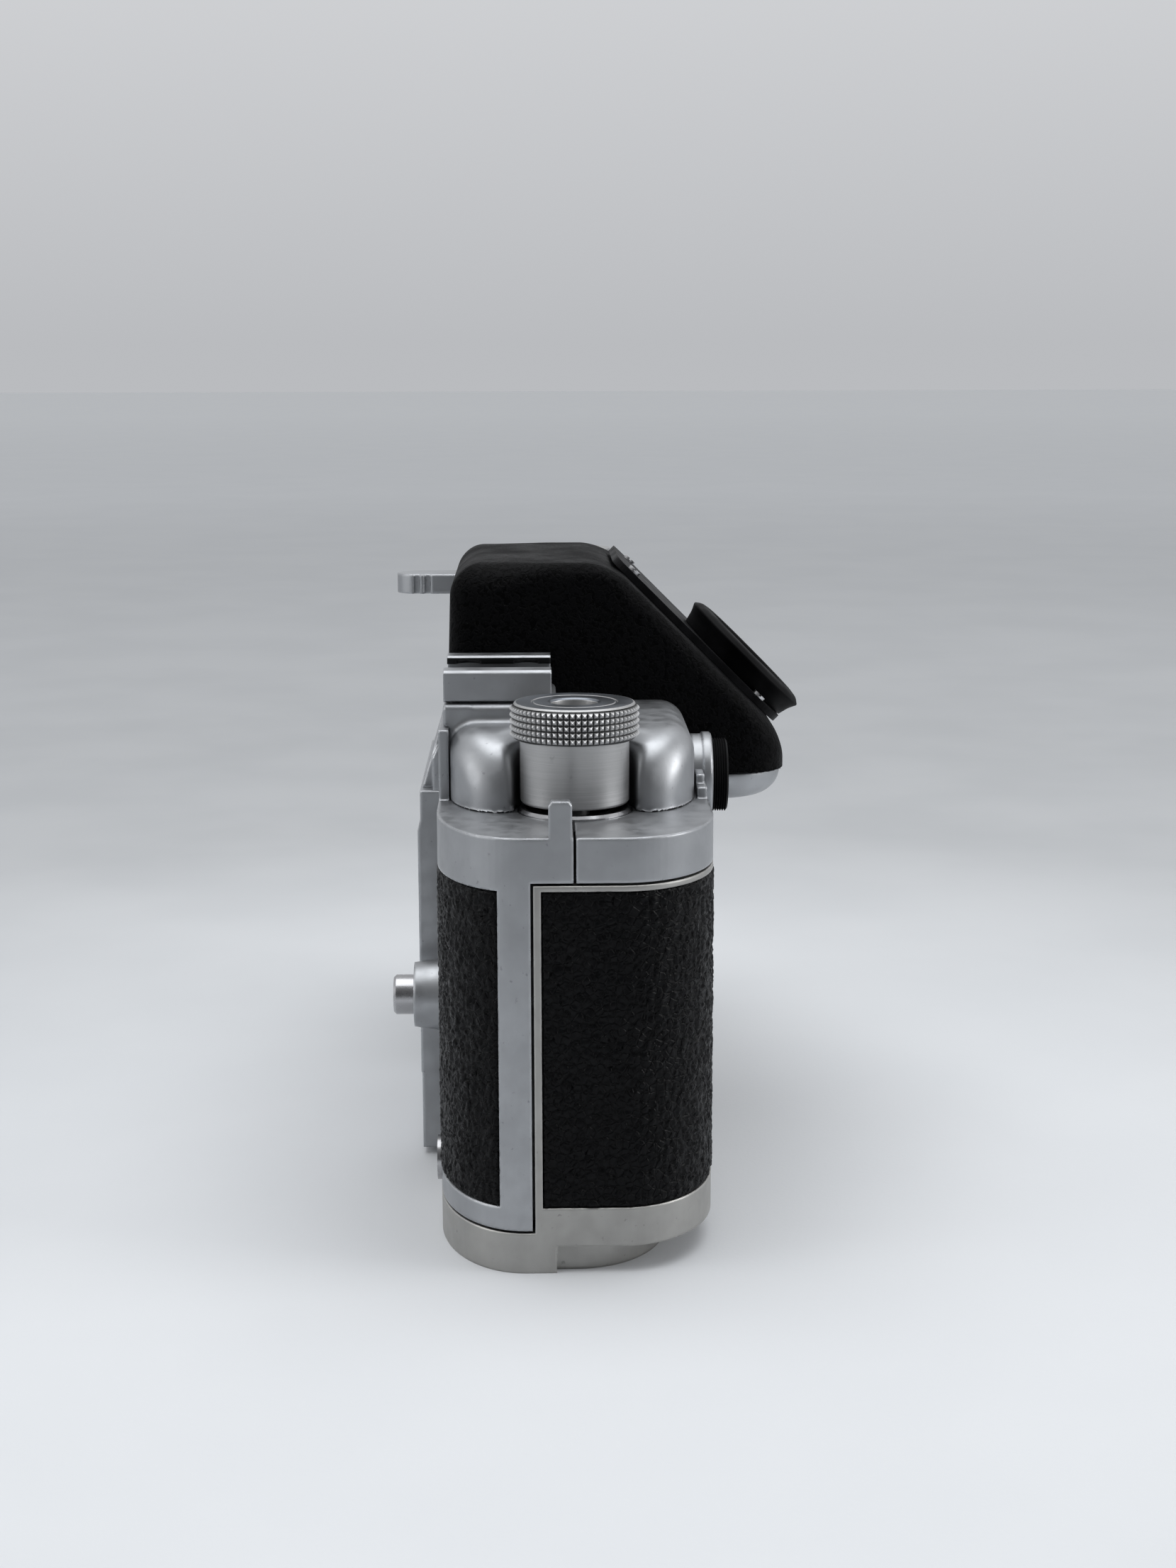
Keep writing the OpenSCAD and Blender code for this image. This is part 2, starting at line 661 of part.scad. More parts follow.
module sync_terminal() {
    color([0.7, 0.7, 0.72]) {
        bar_y(terminal_x, terminal_z, -front_d - 0.6, -19.4, 3.3, 1.6);
        bar_y(terminal_x, terminal_z, -front_d - 0.4, -19.4, 0.6);
        bar_y(terminal_x, terminal_z, -19.7, -19.4, 2);
    }
}

// Places things on the mirror: Z along its face, down and forward from the pivot
module on_mirror() {
    translate([0, mirror_pivot_y, mirror_pivot_z]) rotate([135, 0, 0]) children();
}

module mirror_carrier() {
    color([0.1, 0.1, 0.1]) {
        on_mirror() block(-18, 18, -1.2, -0.2, 0, mirror_len);
        translate([-20.4, mirror_pivot_y, mirror_pivot_z]) rotate([0, 90, 0]) cylinder(r = 0.8, h = 40.8);
        for (s = [-1, 1]) on_mirror() block(s * 17.5 - 0.5, s * 17.5 + 0.5, -0.3, 1, 1, mirror_len);
    }
}

module mirror() {
    color([0.8, 0.85, 0.9]) on_mirror() block(-16.9, 16.9, -0.2, 0.8, 1.2, mirror_len - 0.3);
}

module film_gate() {
    color([0.2, 0.2, 0.21]) difference() {
        union() {
            block(-41, 41, 11.5, 13.4, 9.5, 54);
            for (z = [-18.5, -13.6, 12.6, 17.5]) block(-36, 36, 13, film_y, lens_z + z, lens_z + z + 1);
        }
        block(-gate_w / 2, gate_w / 2, 10, 16, lens_z - gate_h / 2, lens_z + gate_h / 2);
        post(sprocket_x, sprocket_y, 0, 60, sprocket_well_r);
        block(-42, sprocket_x, 10, 16, 0, 60);
    }
}

module first_curtain() {
    color([0.04, 0.04, 0.04]) block(-21.5, 22, 9.9, 10.1, 16.5, 46.5);
    color([0.04, 0.04, 0.04]) block(-21.5, -19.5, 9.7, 9.9, 16.5, 46.5);
}

module second_curtain() {
    color([0.04, 0.04, 0.04]) block(18.5, 25, 10.4, 10.6, 16.5, 46.5);
    color([0.04, 0.04, 0.04]) block(18.5, 20.5, 10.6, 10.9, 16.5, 46.5);
}

module curtain_drum() {
    color([0.3, 0.3, 0.3]) difference() {
        union() {
            post(25.5, 6.2, 15, 48, 3.4);
            post(25.5, 6.2, 11.7, 52.8, 1.2);
        }
        block(21, 30, 9.3, 10, 20, 43);
    }
}

module curtain_roller() {
    color([0.3, 0.3, 0.3]) {
        post(-23.2, 7.4, 15, 48, 2.1);
        post(-23.2, 7.4, 11.7, 52.8, 0.9);
    }
}

module rewind_collar() {
    color([0.6, 0.6, 0.62]) post(control_x, 0, 57.4, 60.4, 4.4, shaft_r + run);
}

module rewind_knob() {
    groove = 0.3;
    knob_top = 78.85;
    color([0.78, 0.78, 0.79]) translate([control_x, 0, 0]) rotate_extrude() polygon(concat(
        [[6.9, 64.4], [shank_r - 0.4, 64.2], [shank_r, 64.6], [shank_r, 73.6], [knob_r - 0.6, 73.6]],
        [for (i = [0 : 4]) each [[knob_r - groove, 73.9 + i * 0.9], [knob_r, 74.15 + i * 0.9],
            [knob_r, 74.55 + i * 0.9]]],
        [[knob_r - groove, 78.4], [knob_r - 0.75, knob_top], [6.05, knob_top], [6.05, knob_top - 0.2],
            [5.85, knob_top - 0.2], [5.85, knob_top], [3.35, knob_top], [3.35, 75.8], [shaft_r, 75.8],
            [shaft_r, 74.2], [6.9, 74.2]]));
}

module rewind_shaft() {
    color([0.7, 0.7, 0.7]) {
        difference() {
            post(control_x, 0, 51.5, 77.2, shaft_r);
            translate([control_x - 3, -0.4, 76.4]) cube([6, 0.8, 2]);
        }
        for (s = [-1, 1]) block(control_x + s * 2.1 - 0.9, control_x + s * 2.1 + 0.9, -0.6, 0.6, 48, 52);
    }
}

module wind_bearing() {
    color([0.8, 0.8, 0.82]) translate([-control_x, 0, ledge_top - plate_t]) rotate_extrude()
        polygon([[wind_shaft_r + run, 0], [8.2, 0], [8.2, 1.7], [7.9, 2.1], [7.3, 2.1], [7, 1.8],
            [wind_shaft_r + run, 1.8]]);
}

module wind_lever() {
    color([0.7, 0.71, 0.73]) translate([-control_x, 0, lever_z]) difference() {
        linear_extrude(lever_t) polygon(concat(
            arc([0, 0], 9.4, 9.4, -40, 215, 40),
            [[-4.2, -14], [-4, -24]],
            arc([0.6, -27.2], 4.2, 4.2, 190, 360, 14),
            [[4.6, -20], [6, -12]]));
        translate([0, 0, -1]) cylinder(r = 3, h = 10);
        for (y = [-28.2, -26.2]) translate([4.1, y, -1]) cube([2, 1.2, 10]);
    }
}

module wind_hub() {
    color([0.78, 0.78, 0.79]) translate([-control_x, 0, 0]) rotate_extrude()
        polygon([[wind_shaft_r, 64.2], [shank_r - 0.3, 64.2], [shank_r, 64.5], [shank_r, lever_z],
            [wind_shaft_r, lever_z]]);
}

module wind_shaft() {
    color([0.6, 0.6, 0.62]) {
        post(-control_x, 0, 7.5, lever_z, wind_shaft_r);
        translate([-control_x, 0, gear_z]) linear_extrude(gear_t)
            polygon(gear_outline(wind_teeth, atan2(sprocket_y, 22)));
    }
}

module counter_ring() {
    color([0.75, 0.75, 0.76]) translate([-control_x, 0, 77.3]) difference() {
        union() {
            cylinder(r = 9, h = 3);
            for (a = [0 : 15 : 345]) rotate(a) translate([8.7, 0, 0.4]) cylinder(r = 0.5, h = 2.2, $fn = 16);
        }
        translate([0, 0, -1]) cylinder(r = shank_r + clear, h = 8);
    }
}

module speed_dial() {
    color([0.75, 0.75, 0.76]) translate([-control_x, 0, lever_z + lever_t + 0.3]) difference() {
        union() {
            cylinder(r = 8.6, h = 4.2);
            translate([0, 0, -3.7]) cylinder(r = 2.9, h = 4);
            for (a = [0 : 12 : 348]) rotate(a) translate([8.4, 0, 0.5]) cylinder(r = 0.55, h = 3.2, $fn = 16);
        }
        translate([0, 0, 3.4]) cylinder(r = 5.5, h = 2);
    }
}

module sprocket() {
    color([0.5, 0.5, 0.52]) {
        post(sprocket_x, sprocket_y, 7.8, gear_z + gear_t + 0.6, 1.5);
        post(sprocket_x, sprocket_y, 11, 52, 5.2);
        for (z = [lens_z - 16, lens_z + 13]) {
            post(sprocket_x, sprocket_y, z, z + 3, 6.05);
            for (a = [0 : 45 : 315]) translate([sprocket_x, sprocket_y, z + 0.6]) rotate(a)
                translate([5.5, -0.8, 0]) cube([1.5, 1.6, 1.8]);
        }
        translate([sprocket_x, sprocket_y, gear_z]) linear_extrude(gear_t) polygon(
            gear_outline(sprocket_teeth, atan2(sprocket_y, 22) + 180 + 180 / sprocket_teeth));
    }
}

module takeup_spool() {
    color([0.08, 0.08, 0.08]) difference() {
        union() {
            post(-control_x, 0, 9.5, 54.4, 5.6);
            for (z = [9.5, 51.9]) post(-control_x, 0, z, z + 2.5, 10.8);
        }
        post(-control_x, 0, 0, 60, wind_shaft_r + run);
        for (a = [0 : 90 : 270]) translate([-control_x, 0, 16]) rotate(a) translate([4, -0.8, 0]) cube([4, 1.6, 31]);
    }
}

module back_shell() {
    color([0.6, 0.595, 0.585]) difference() {
        union() {
            intersection() {
                slab(0, frame_top);
                between_y(casting_end + seam, back_d + 1);
            }
            slab(0, base_h - seam / 2);
        }
        // Inside of the back and of the base
        slab(5.4, far, wall);
        intersection() {
            slab(2.5, base_h, wall + 1);
            linear_extrude(base_h) polygon(foot_plan(1.8));
        }
        difference() {
            leather_zone(-1, leather_in, 0);
            between_y(-far, back_leather_end);
        }
        // The rear half of the base is cut back above a recessed foot
        difference() {
            slab(-1, foot_h, -1);
            between_y(-far, foot_step);
            translate([0, 0, -2]) linear_extrude(foot_h + 3) polygon(foot_plan(0));
        }
        // Recesses and bearings of the base keys, seat of the tripod bush
        for (s = [-1, 1]) {
            post(s * control_x, 0, -1, 1.7, key_r + 0.3);
            post(s * control_x, 0, 0, 7, 3.1);
        }
        post(0, 0, -1, 7, 6);
        for (x = [-9, 9], y = [-4, 4]) {
            post(x, y, -1, 7, 0.9);
            post(x, y, -1, 1.2, 1.75);
        }
    }
}

module back_leather() {
    color([0.06, 0.06, 0.06]) intersection() {
        leather_zone(-leather_out, leather_in, -0.05);
        between_y(back_leather_end + 0.05, far);
    }
}

module tripod_bush() {
    color([0.72, 0.72, 0.74]) difference() {
        union() {
            post(0, 0, 0, 5.8, 6);
            post(0, 0, 2.5, 3.7, 11);
        }
        post(0, 0, -1, 5.2, tripod_r);
        for (x = [-9, 9], y = [-4, 4]) post(x, y, 0, 7, 0.9);
    }
}

module base_screws() {
    color([0.72, 0.72, 0.74])
        for (x = [-9, 9], y = [-4, 4]) translate([x, y, 1.2]) rotate([180, 0, 0]) screw(1.6, 0.8, 0.85, 3);
}

module pressure_plate() {
    color([0.1, 0.1, 0.1]) difference() {
        block(-28, 28, 14.3, 15.3, 11, 52);
        for (x = [-20 : 10 : 20]) block(x - 0.6, x + 0.6, 13.8, 14.5, 14, 49);
    }
}

module pressure_spring() {
    color([0.7, 0.7, 0.72])
        for (z = [24, 39]) translate([0, 0, z - 2.5]) linear_extrude(5)
            polygon([[-24, 16.3], [-8, 17.6], [8, 17.6], [24, 16.3], [24, 16.6], [8, 17.9], [-8, 17.9], [-24, 16.6]]);
}

module base_key(x) {
    color([0.72, 0.72, 0.74]) difference() {
        union() {
            post(x, 0, 0.35, 1.6, key_r);
            post(x, 0, 1.5, 4.6, 3.02);
            translate([x, 0, 3.4]) block(-2, 6.4, -2, 2, 0, 1.2);
        }
        // Half-round finger hollow
        difference() {
            post(x, 0, 0, 1, key_r - 1.4);
            block(x - 20, x + 20, -1.6, 20, -1, 5);
        }
    }
}

module base_key_rewind() {
    base_key(control_x);
}

module base_key_wind() {
    base_key(-control_x);
}

chassis();
mirror_box();
front_casting();
rear_ledge();
top_cover();
cover_screws();
leather_front_rewind();
leather_front_wind();
knob_seat_ring();
accessory_shoe();
shoe_screws();
prism_housing();
prism_base_band();
eyepiece_plate();
eyepiece_screws();
eyecup();
eyepiece_lens();
prism_glass();
focusing_screen();
finder_block();
finder_window();
finder_ring();
finder_thread();
finder_lens();
mount_block();
lens_flange();
flange_screws();
front_hood();
lens_lock_lever();
release_boss();
release_button();
release_spring();
sync_terminal();
mirror_carrier();
mirror();
film_gate();
first_curtain();
second_curtain();
curtain_drum();
curtain_roller();
rewind_collar();
rewind_knob();
rewind_shaft();
wind_bearing();
wind_lever();
wind_hub();
wind_shaft();
counter_ring();
speed_dial();
sprocket();
takeup_spool();
back_shell();
back_leather();
tripod_bush();
base_screws();
pressure_plate();
pressure_spring();
base_key_rewind();
base_key_wind();
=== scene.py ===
import json
import math

import bmesh
import bpy
import numpy as np
from mathutils import Matrix, Vector, noise

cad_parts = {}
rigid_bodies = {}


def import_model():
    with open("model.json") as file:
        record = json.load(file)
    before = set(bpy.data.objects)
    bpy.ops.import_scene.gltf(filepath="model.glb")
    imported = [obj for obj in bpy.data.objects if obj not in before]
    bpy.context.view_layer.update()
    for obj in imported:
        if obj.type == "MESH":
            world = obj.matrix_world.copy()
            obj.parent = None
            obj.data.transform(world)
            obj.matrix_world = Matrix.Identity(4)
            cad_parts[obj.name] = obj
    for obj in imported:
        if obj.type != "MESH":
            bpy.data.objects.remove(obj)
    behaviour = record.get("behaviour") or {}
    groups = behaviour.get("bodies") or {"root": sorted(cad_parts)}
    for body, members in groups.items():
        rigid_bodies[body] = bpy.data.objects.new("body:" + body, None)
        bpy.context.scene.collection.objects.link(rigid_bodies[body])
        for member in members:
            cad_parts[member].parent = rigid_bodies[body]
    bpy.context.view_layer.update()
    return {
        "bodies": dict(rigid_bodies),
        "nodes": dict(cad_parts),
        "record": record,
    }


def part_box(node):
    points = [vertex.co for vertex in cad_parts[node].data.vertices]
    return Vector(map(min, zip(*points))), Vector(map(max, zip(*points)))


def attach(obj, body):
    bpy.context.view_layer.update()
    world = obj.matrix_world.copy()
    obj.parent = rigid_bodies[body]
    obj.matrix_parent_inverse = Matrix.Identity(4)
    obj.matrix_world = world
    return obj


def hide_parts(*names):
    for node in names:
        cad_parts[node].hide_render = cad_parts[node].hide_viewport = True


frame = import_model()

MM = 0.001

# Without a fixed seed, noise_vector() bends the leather's wrinkles another way at every run
noise.seed_set(1)


# ---------------------------------------------------------------- frame helpers

def box_mm(node):
    """Lowest and highest corner of a CAD node, in millimetres."""
    low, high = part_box(node)
    return np.array(low) / MM, np.array(high) / MM


def middle_mm(node):
    low, high = box_mm(node)
    return (low + high) / 2


def body_of(node):
    """The body that holds a CAD node."""
    bodies = frame["record"]["behaviour"]["bodies"]
    return next(body for body, nodes in bodies.items() if node in nodes)


def slot_of(node):
    return next(p["material_slot"] for p in frame["record"]["subparts"] if p["node"] == node)


def make_object(name, points_mm, faces):
    """A mesh object from points in millimetres."""
    mesh = bpy.data.meshes.new(name)
    points = np.asarray(points_mm, float) * MM
    mesh.from_pydata(points.tolist(), [], faces)
    mesh.validate()
    piece = bpy.data.objects.new(name, mesh)
    bpy.context.scene.collection.objects.link(piece)
    return piece


def shade(piece, angle=35):
    """Smooth shading, sharp across edges that turn by more than the angle."""
    mesh = piece.data
    mesh.polygons.foreach_set("use_smooth", [True] * len(mesh.polygons))
    mesh.set_sharp_from_angle(angle=math.radians(angle))


def face_outwards(piece):
    work = bmesh.new()
    work.from_mesh(piece.data)
    bmesh.ops.recalc_face_normals(work, faces=work.faces)
    work.to_mesh(piece.data)
    work.free()


def stand_for(piece, node, material, *more):
    """The piece shows in the node's place: it rides on its body and takes its slot."""
    piece.data.materials.clear()
    piece.data.materials.append(material)
    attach(piece, body_of(node))
    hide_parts(node, *more)
    return piece


# ---------------------------------------------------------------- materials

class Nodes:
    """A short way to write a material's node tree, or to add to the tree of a material that is there."""

    def __init__(self, name, material=None):
        self.material = material or bpy.data.materials.new(name)
        self.material.use_nodes = True
        self.tree = self.material.node_tree
        self.shader = self.tree.nodes["Principled BSDF"]
        self.place = self.add("ShaderNodeTexCoord").outputs["Object"]

    def add(self, kind, **settings):
        node = self.tree.nodes.new(kind)
        for key, value in settings.items():
            setattr(node, key, value)
        return node

    def link(self, source, target):
        self.tree.links.new(source, target)

    def scaled(self, x, y, z):
        """Object coordinates multiplied along each axis."""
        mapping = self.add("ShaderNodeMapping")
        mapping.inputs["Scale"].default_value = (x, y, z)
        self.link(self.place, mapping.inputs["Vector"])
        return mapping.outputs["Vector"]

    def noise(self, size_mm, detail=3, roughness=0.5, vector=None, warp=0.0):
        node = self.add("ShaderNodeTexNoise")
        node.inputs["Scale"].default_value = 1 / (size_mm * MM) if vector is None else 1
        node.inputs["Detail"].default_value = detail
        node.inputs["Roughness"].default_value = roughness
        node.inputs["Distortion"].default_value = warp
        self.link(vector or self.place, node.inputs["Vector"])
        return node.outputs["Fac"]

    def cells(self, size_mm, feature="F1", vector=None):
        node = self.add("ShaderNodeTexVoronoi", feature=feature)
        node.inputs["Scale"].default_value = 1 / (size_mm * MM) if vector is None else 1
        self.link(vector or self.place, node.inputs["Vector"])
        return node.outputs["Distance"]

    def ramp(self, value, low, high, out_low=0.0, out_high=1.0, kind="SMOOTHSTEP"):
        node = self.add("ShaderNodeMapRange", interpolation_type=kind)
        for key, number in (("From Min", low), ("From Max", high), ("To Min", out_low), ("To Max", out_high)):
            node.inputs[key].default_value = number
        self.link(value, node.inputs["Value"])
        return node.outputs["Result"]

    def math(self, operation, *values):
        node = self.add("ShaderNodeMath", operation=operation)
        for socket, value in zip(node.inputs, values):
            if isinstance(value, (int, float)):
                socket.default_value = value
            else:
                self.link(value, socket)
        return node.outputs["Value"]

    def base_tone(self):
        """What feeds the base colour so far."""
        return self.shader.inputs["Base Color"].links[0].from_socket

    def multiply(self, a, b):
        """The product of two colours."""
        node = self.add("ShaderNodeMix", data_type="RGBA", blend_type="MULTIPLY")
        node.inputs["Factor"].default_value = 1
        self.link(a, node.inputs[6])
        self.link(b, node.inputs[7])
        return node.outputs[2]

    def mix(self, factor, a, b):
        """A colour between a and b."""
        node = self.add("ShaderNodeMix", data_type="RGBA")
        self.link(factor, node.inputs["Factor"])
        for socket, value in ((node.inputs[6], a), (node.inputs[7], b)):
            if isinstance(value, tuple):
                socket.default_value = (*value, 1)
            else:
                self.link(value, socket)
        return node.outputs[2]

    def rounding(self, radius_mm):
        """The normal with edges rounded off."""
        bevel = self.add("ShaderNodeBevel", samples=6)
        bevel.inputs["Radius"].default_value = radius_mm * MM
        return bevel.outputs["Normal"]

    def edge_mask(self, rounded_normal, low=0.02, high=0.2):
        """0 on flat faces and 1 on edges, from how far a rounded normal leans off the true one."""
        dot = self.add("ShaderNodeVectorMath", operation="DOT_PRODUCT")
        self.link(rounded_normal, dot.inputs[0])
        self.link(self.add("ShaderNodeNewGeometry").outputs["Normal"], dot.inputs[1])
        return self.ramp(self.math("SUBTRACT", 1.0, dot.outputs["Value"]), low, high)

    def bump(self, height, depth_mm, strength=1.0, under=None):
        node = self.add("ShaderNodeBump")
        node.inputs["Distance"].default_value = depth_mm * MM
        node.inputs["Strength"].default_value = strength
        self.link(height, node.inputs["Height"])
        if under is not None:
            self.link(under, node.inputs["Normal"])
        return node.outputs["Normal"]

    def set(self, **sockets):
        for key, value in sockets.items():
            socket = self.shader.inputs[key.replace("_", " ")]
            if isinstance(value, bpy.types.NodeSocket):
                self.link(value, socket)
            else:
                socket.default_value = value if not isinstance(value, tuple) else (*value, 1)
        return self.material


def scaled_colour(colour, factor):
    return tuple(min(1.0, channel * factor) for channel in colour)


def satin_metal(name, colour, roughness, grain_mm=0.25, grain_depth_mm=0.009, edge_mm=0.3, dirt=0.45):
    """Blasted and plated metal: fine grain, faint cloudiness, small dark specks, and bright edges that are
    partly wear and partly painted highlight.
    """
    n = Nodes(name)
    rounded_normal = n.rounding(edge_mm)
    cloud = n.ramp(n.noise(7, 4), 0.3, 0.7)
    tone = n.mix(cloud, scaled_colour(colour, 0.93), scaled_colour(colour, 1.05))
    specks = n.math("MULTIPLY", n.ramp(n.noise(0.9, 2), 0.68, 0.78), dirt)
    tone = n.mix(specks, tone, scaled_colour(colour, 0.4))
    rough = n.ramp(n.noise(2.5, 5), 0.3, 0.7, roughness - 0.05, roughness + 0.06)
    edge = n.math("MULTIPLY", n.edge_mask(rounded_normal), n.ramp(n.noise(3, 3), 0.3, 0.6, 0.45, 1.0))
    # Edges painted brighter: partly wear, partly a painted highlight on the rounded edges
    tone = n.mix(edge, tone, scaled_colour(colour, 1.5))
    rough = n.math("SUBTRACT", rough, n.math("MULTIPLY", edge, 0.16))
    grain = n.noise(grain_mm, 3, 0.65)
    normal = n.bump(grain, grain_depth_mm, under=rounded_normal)
    return n.set(Base_Color=tone, Metallic=1.0, Roughness=rough, Normal=normal)


def turned_metal(name, colour, roughness, line_mm=0.05, line_depth_mm=0.004, axis=2):
    """Lathe-turned metal, with fine lines round an axis and a few scratches."""
    n = Nodes(name)
    along = [60.0, 60.0, 60.0]
    along[axis] = 1 / (line_mm * MM)
    lines = n.noise(1, 3, 0.7, n.scaled(*along))
    scratches = n.ramp(n.noise(1, 2, 0.5, n.scaled(*[s / 3 + 90 for s in along])), 0.62, 0.75)
    tone = n.mix(n.ramp(lines, 0.3, 0.7), scaled_colour(colour, 0.84), scaled_colour(colour, 1.08))
    tone = n.mix(n.math("MULTIPLY", scratches, 0.35), tone, scaled_colour(colour, 1.3))
    stains = n.math("MULTIPLY", n.ramp(n.noise(1.4, 3), 0.66, 0.8), 0.5)
    tone = n.mix(stains, tone, scaled_colour(colour, 0.45))
    rough = n.ramp(lines, 0.25, 0.75, roughness - 0.07, roughness + 0.07)
    return n.set(Base_Color=tone, Metallic=1.0, Roughness=rough, Normal=n.bump(lines, line_depth_mm))


def knurled_metal(name, colour, centre_mm, root_mm, crest_mm):
    """Turned metal with painted shade in the grooves of a knurl round an upright axis, and painted highlight
    on its crests.
    """
    n = Nodes(name, turned_metal(name, colour, 0.42))
    flat = n.add("ShaderNodeVectorMath", operation="MULTIPLY_ADD")
    flat.inputs[1].default_value = (1, 1, 0)
    flat.inputs[2].default_value = (-centre_mm[0] * MM, -centre_mm[1] * MM, 0)
    n.link(n.place, flat.inputs[0])
    length = n.add("ShaderNodeVectorMath", operation="LENGTH")
    n.link(flat.outputs["Vector"], length.inputs[0])
    reach = length.outputs["Value"]
    unshaded_mm = 0.45 * root_mm + 0.55 * crest_mm
    # Painted shade darkens the grooves towards the root; painted highlight brightens the crests up to 1.45
    # times
    groove = n.ramp(reach, root_mm * MM, unshaded_mm * MM, 0.06, 1.45, "LINEAR")
    inside = n.math("LESS_THAN", reach, (root_mm - 0.1) * MM)
    return n.set(Base_Color=n.multiply(n.base_tone(), n.math("MAXIMUM", groove, inside)))


def shoe_metal(name, colour):
    """Satin metal with painted shade inside the slot of the accessory shoe."""
    low, high = box_mm("accessory_shoe")
    middle, slot_half, lip = (low[0] + high[0]) / 2, 9.25, 0.3
    n = Nodes(name, satin_metal(name, colour, 0.43, edge_mm=0.4))
    split = n.add("ShaderNodeSeparateXYZ")
    n.link(n.add("ShaderNodeNewGeometry").outputs["Position"], split.inputs[0])
    # Painted shade: inside the slot, below the lip, the tone is darkened to 7 % of the metal's
    across = n.math("COMPARE", split.outputs["X"], middle * MM, slot_half * MM)
    below = n.math("LESS_THAN", split.outputs["Z"], (high[2] - lip) * MM)
    slot = n.math("MULTIPLY", across, below)
    return n.set(Base_Color=n.mix(slot, n.base_tone(), scaled_colour(colour, 0.07)))


def polished_metal(name, colour, roughness=0.16):
    n = Nodes(name)
    smear = n.noise(4, 5, 0.6)
    tone = n.mix(n.ramp(smear, 0.3, 0.7), scaled_colour(colour, 0.93), scaled_colour(colour, 1.04))
    fine = n.noise(1, 3, 0.6, n.scaled(300, 2500, 900))
    rough = n.ramp(smear, 0.3, 0.7, roughness - 0.04, roughness + 0.08)
    return n.set(Base_Color=tone, Metallic=1.0, Roughness=rough, Normal=n.bump(fine, 0.0012))


def crinkle_paint(name, colour, grain_mm, depth_mm, roughness=0.5):
    """Wrinkled black enamel: small rounded blisters, with painted shade in the furrows between them and
    painted light on their tops.
    """
    n = Nodes(name)
    fold = n.noise(grain_mm, 3, 0.5, warp=0.9)
    blister = n.ramp(fold, 0.36, 0.6)
    # Painted shade in the furrows and painted light on the blister tops
    tone = n.mix(blister, scaled_colour(colour, 0.3), scaled_colour(colour, 1.3))
    dust = n.ramp(n.noise(0.35, 1), 0.78, 0.82)
    tone = n.mix(n.math("MULTIPLY", dust, 0.12), tone, (0.2, 0.2, 0.2))
    rough = n.ramp(n.noise(9, 3), 0.3, 0.7, roughness - 0.07, roughness + 0.1)
    normal = n.bump(n.noise(0.14, 2), 0.008, under=n.bump(blister, depth_mm))
    return n.set(Base_Color=tone, Metallic=0.0, Roughness=rough, Normal=normal, Specular_IOR_Level=0.04)


def leather_black(name):
    """Pebbled black covering: the pebbles are in the mesh, the pores and creases are here, and the creases
    are painted darker as painted shade.
    """
    n = Nodes(name)
    pores = n.noise(0.16, 3, 0.6)
    crease = n.cells(1.1, "DISTANCE_TO_EDGE")
    valley = n.ramp(crease, 0.0, 0.16)
    # Painted shade: the creases are darker than the faces between them
    tone = n.mix(valley, (0.0008, 0.0008, 0.001), (0.003, 0.003, 0.0035))
    tone = n.mix(n.math("MULTIPLY", n.ramp(n.noise(0.3, 1), 0.8, 0.84), 0.15), tone, (0.15, 0.15, 0.15))
    rough = n.ramp(n.noise(1.3, 4), 0.3, 0.7, 0.28, 0.42)
    normal = n.bump(pores, 0.02, under=n.bump(valley, 0.09))
    return n.set(Base_Color=tone, Roughness=rough, Normal=normal, Specular_IOR_Level=0.1)


def matte_black(name, colour=(0.018, 0.018, 0.019), roughness=0.55, grain_mm=0.3, depth_mm=0.01, metal=0.0):
    n = Nodes(name)
    grain = n.noise(grain_mm, 4, 0.6)
    tone = n.mix(n.ramp(n.noise(5, 4), 0.35, 0.7), scaled_colour(colour, 0.75), scaled_colour(colour, 1.35))
    edge = n.edge_mask(n.rounding(0.2))
    tone = n.mix(n.math("MULTIPLY", edge, 0.35), tone, scaled_colour(colour, 4.0))
    rough = n.ramp(n.noise(2, 4), 0.3, 0.7, roughness - 0.08, roughness + 0.08)
    return n.set(Base_Color=tone, Metallic=metal, Roughness=rough, Normal=n.bump(grain, depth_mm),
                 Specular_IOR_Level=0.06)


def rubber_black(name):
    n = Nodes(name)
    film = n.ramp(n.noise(6, 4), 0.4, 0.75)
    tone = n.mix(film, (0.0015, 0.0015, 0.0018), (0.005, 0.005, 0.0055))
    rough = n.ramp(n.noise(3, 4), 0.3, 0.7, 0.45, 0.62)
    return n.set(Base_Color=tone, Roughness=rough, Normal=n.bump(n.noise(0.2, 2), 0.004),
                 Specular_IOR_Level=0.05)


def gloss_black(name):
    """Smooth black enamel with faint polishing marks."""
    n = Nodes(name)
    marks = n.noise(1, 3, 0.6, n.scaled(400, 2200, 900))
    tone = n.mix(n.ramp(n.noise(3, 3), 0.35, 0.7), (0.006, 0.006, 0.0065), (0.011, 0.011, 0.012))
    rough = n.ramp(n.noise(2, 4), 0.3, 0.7, 0.42, 0.56)
    normal = n.bump(marks, 0.0015, under=n.rounding(0.15))
    return n.set(Base_Color=tone, Roughness=rough, Normal=normal, Specular_IOR_Level=0.06)


def cloth_black(name):
    n = Nodes(name)
    weave = n.noise(1, 1, 0.5, n.scaled(3000, 3000, 3000))
    tone = n.mix(weave, (0.006, 0.006, 0.006), (0.022, 0.022, 0.022))
    return n.set(Base_Color=tone, Roughness=n.ramp(weave, 0.2, 0.8, 0.7, 0.9), Normal=n.bump(weave, 0.02))


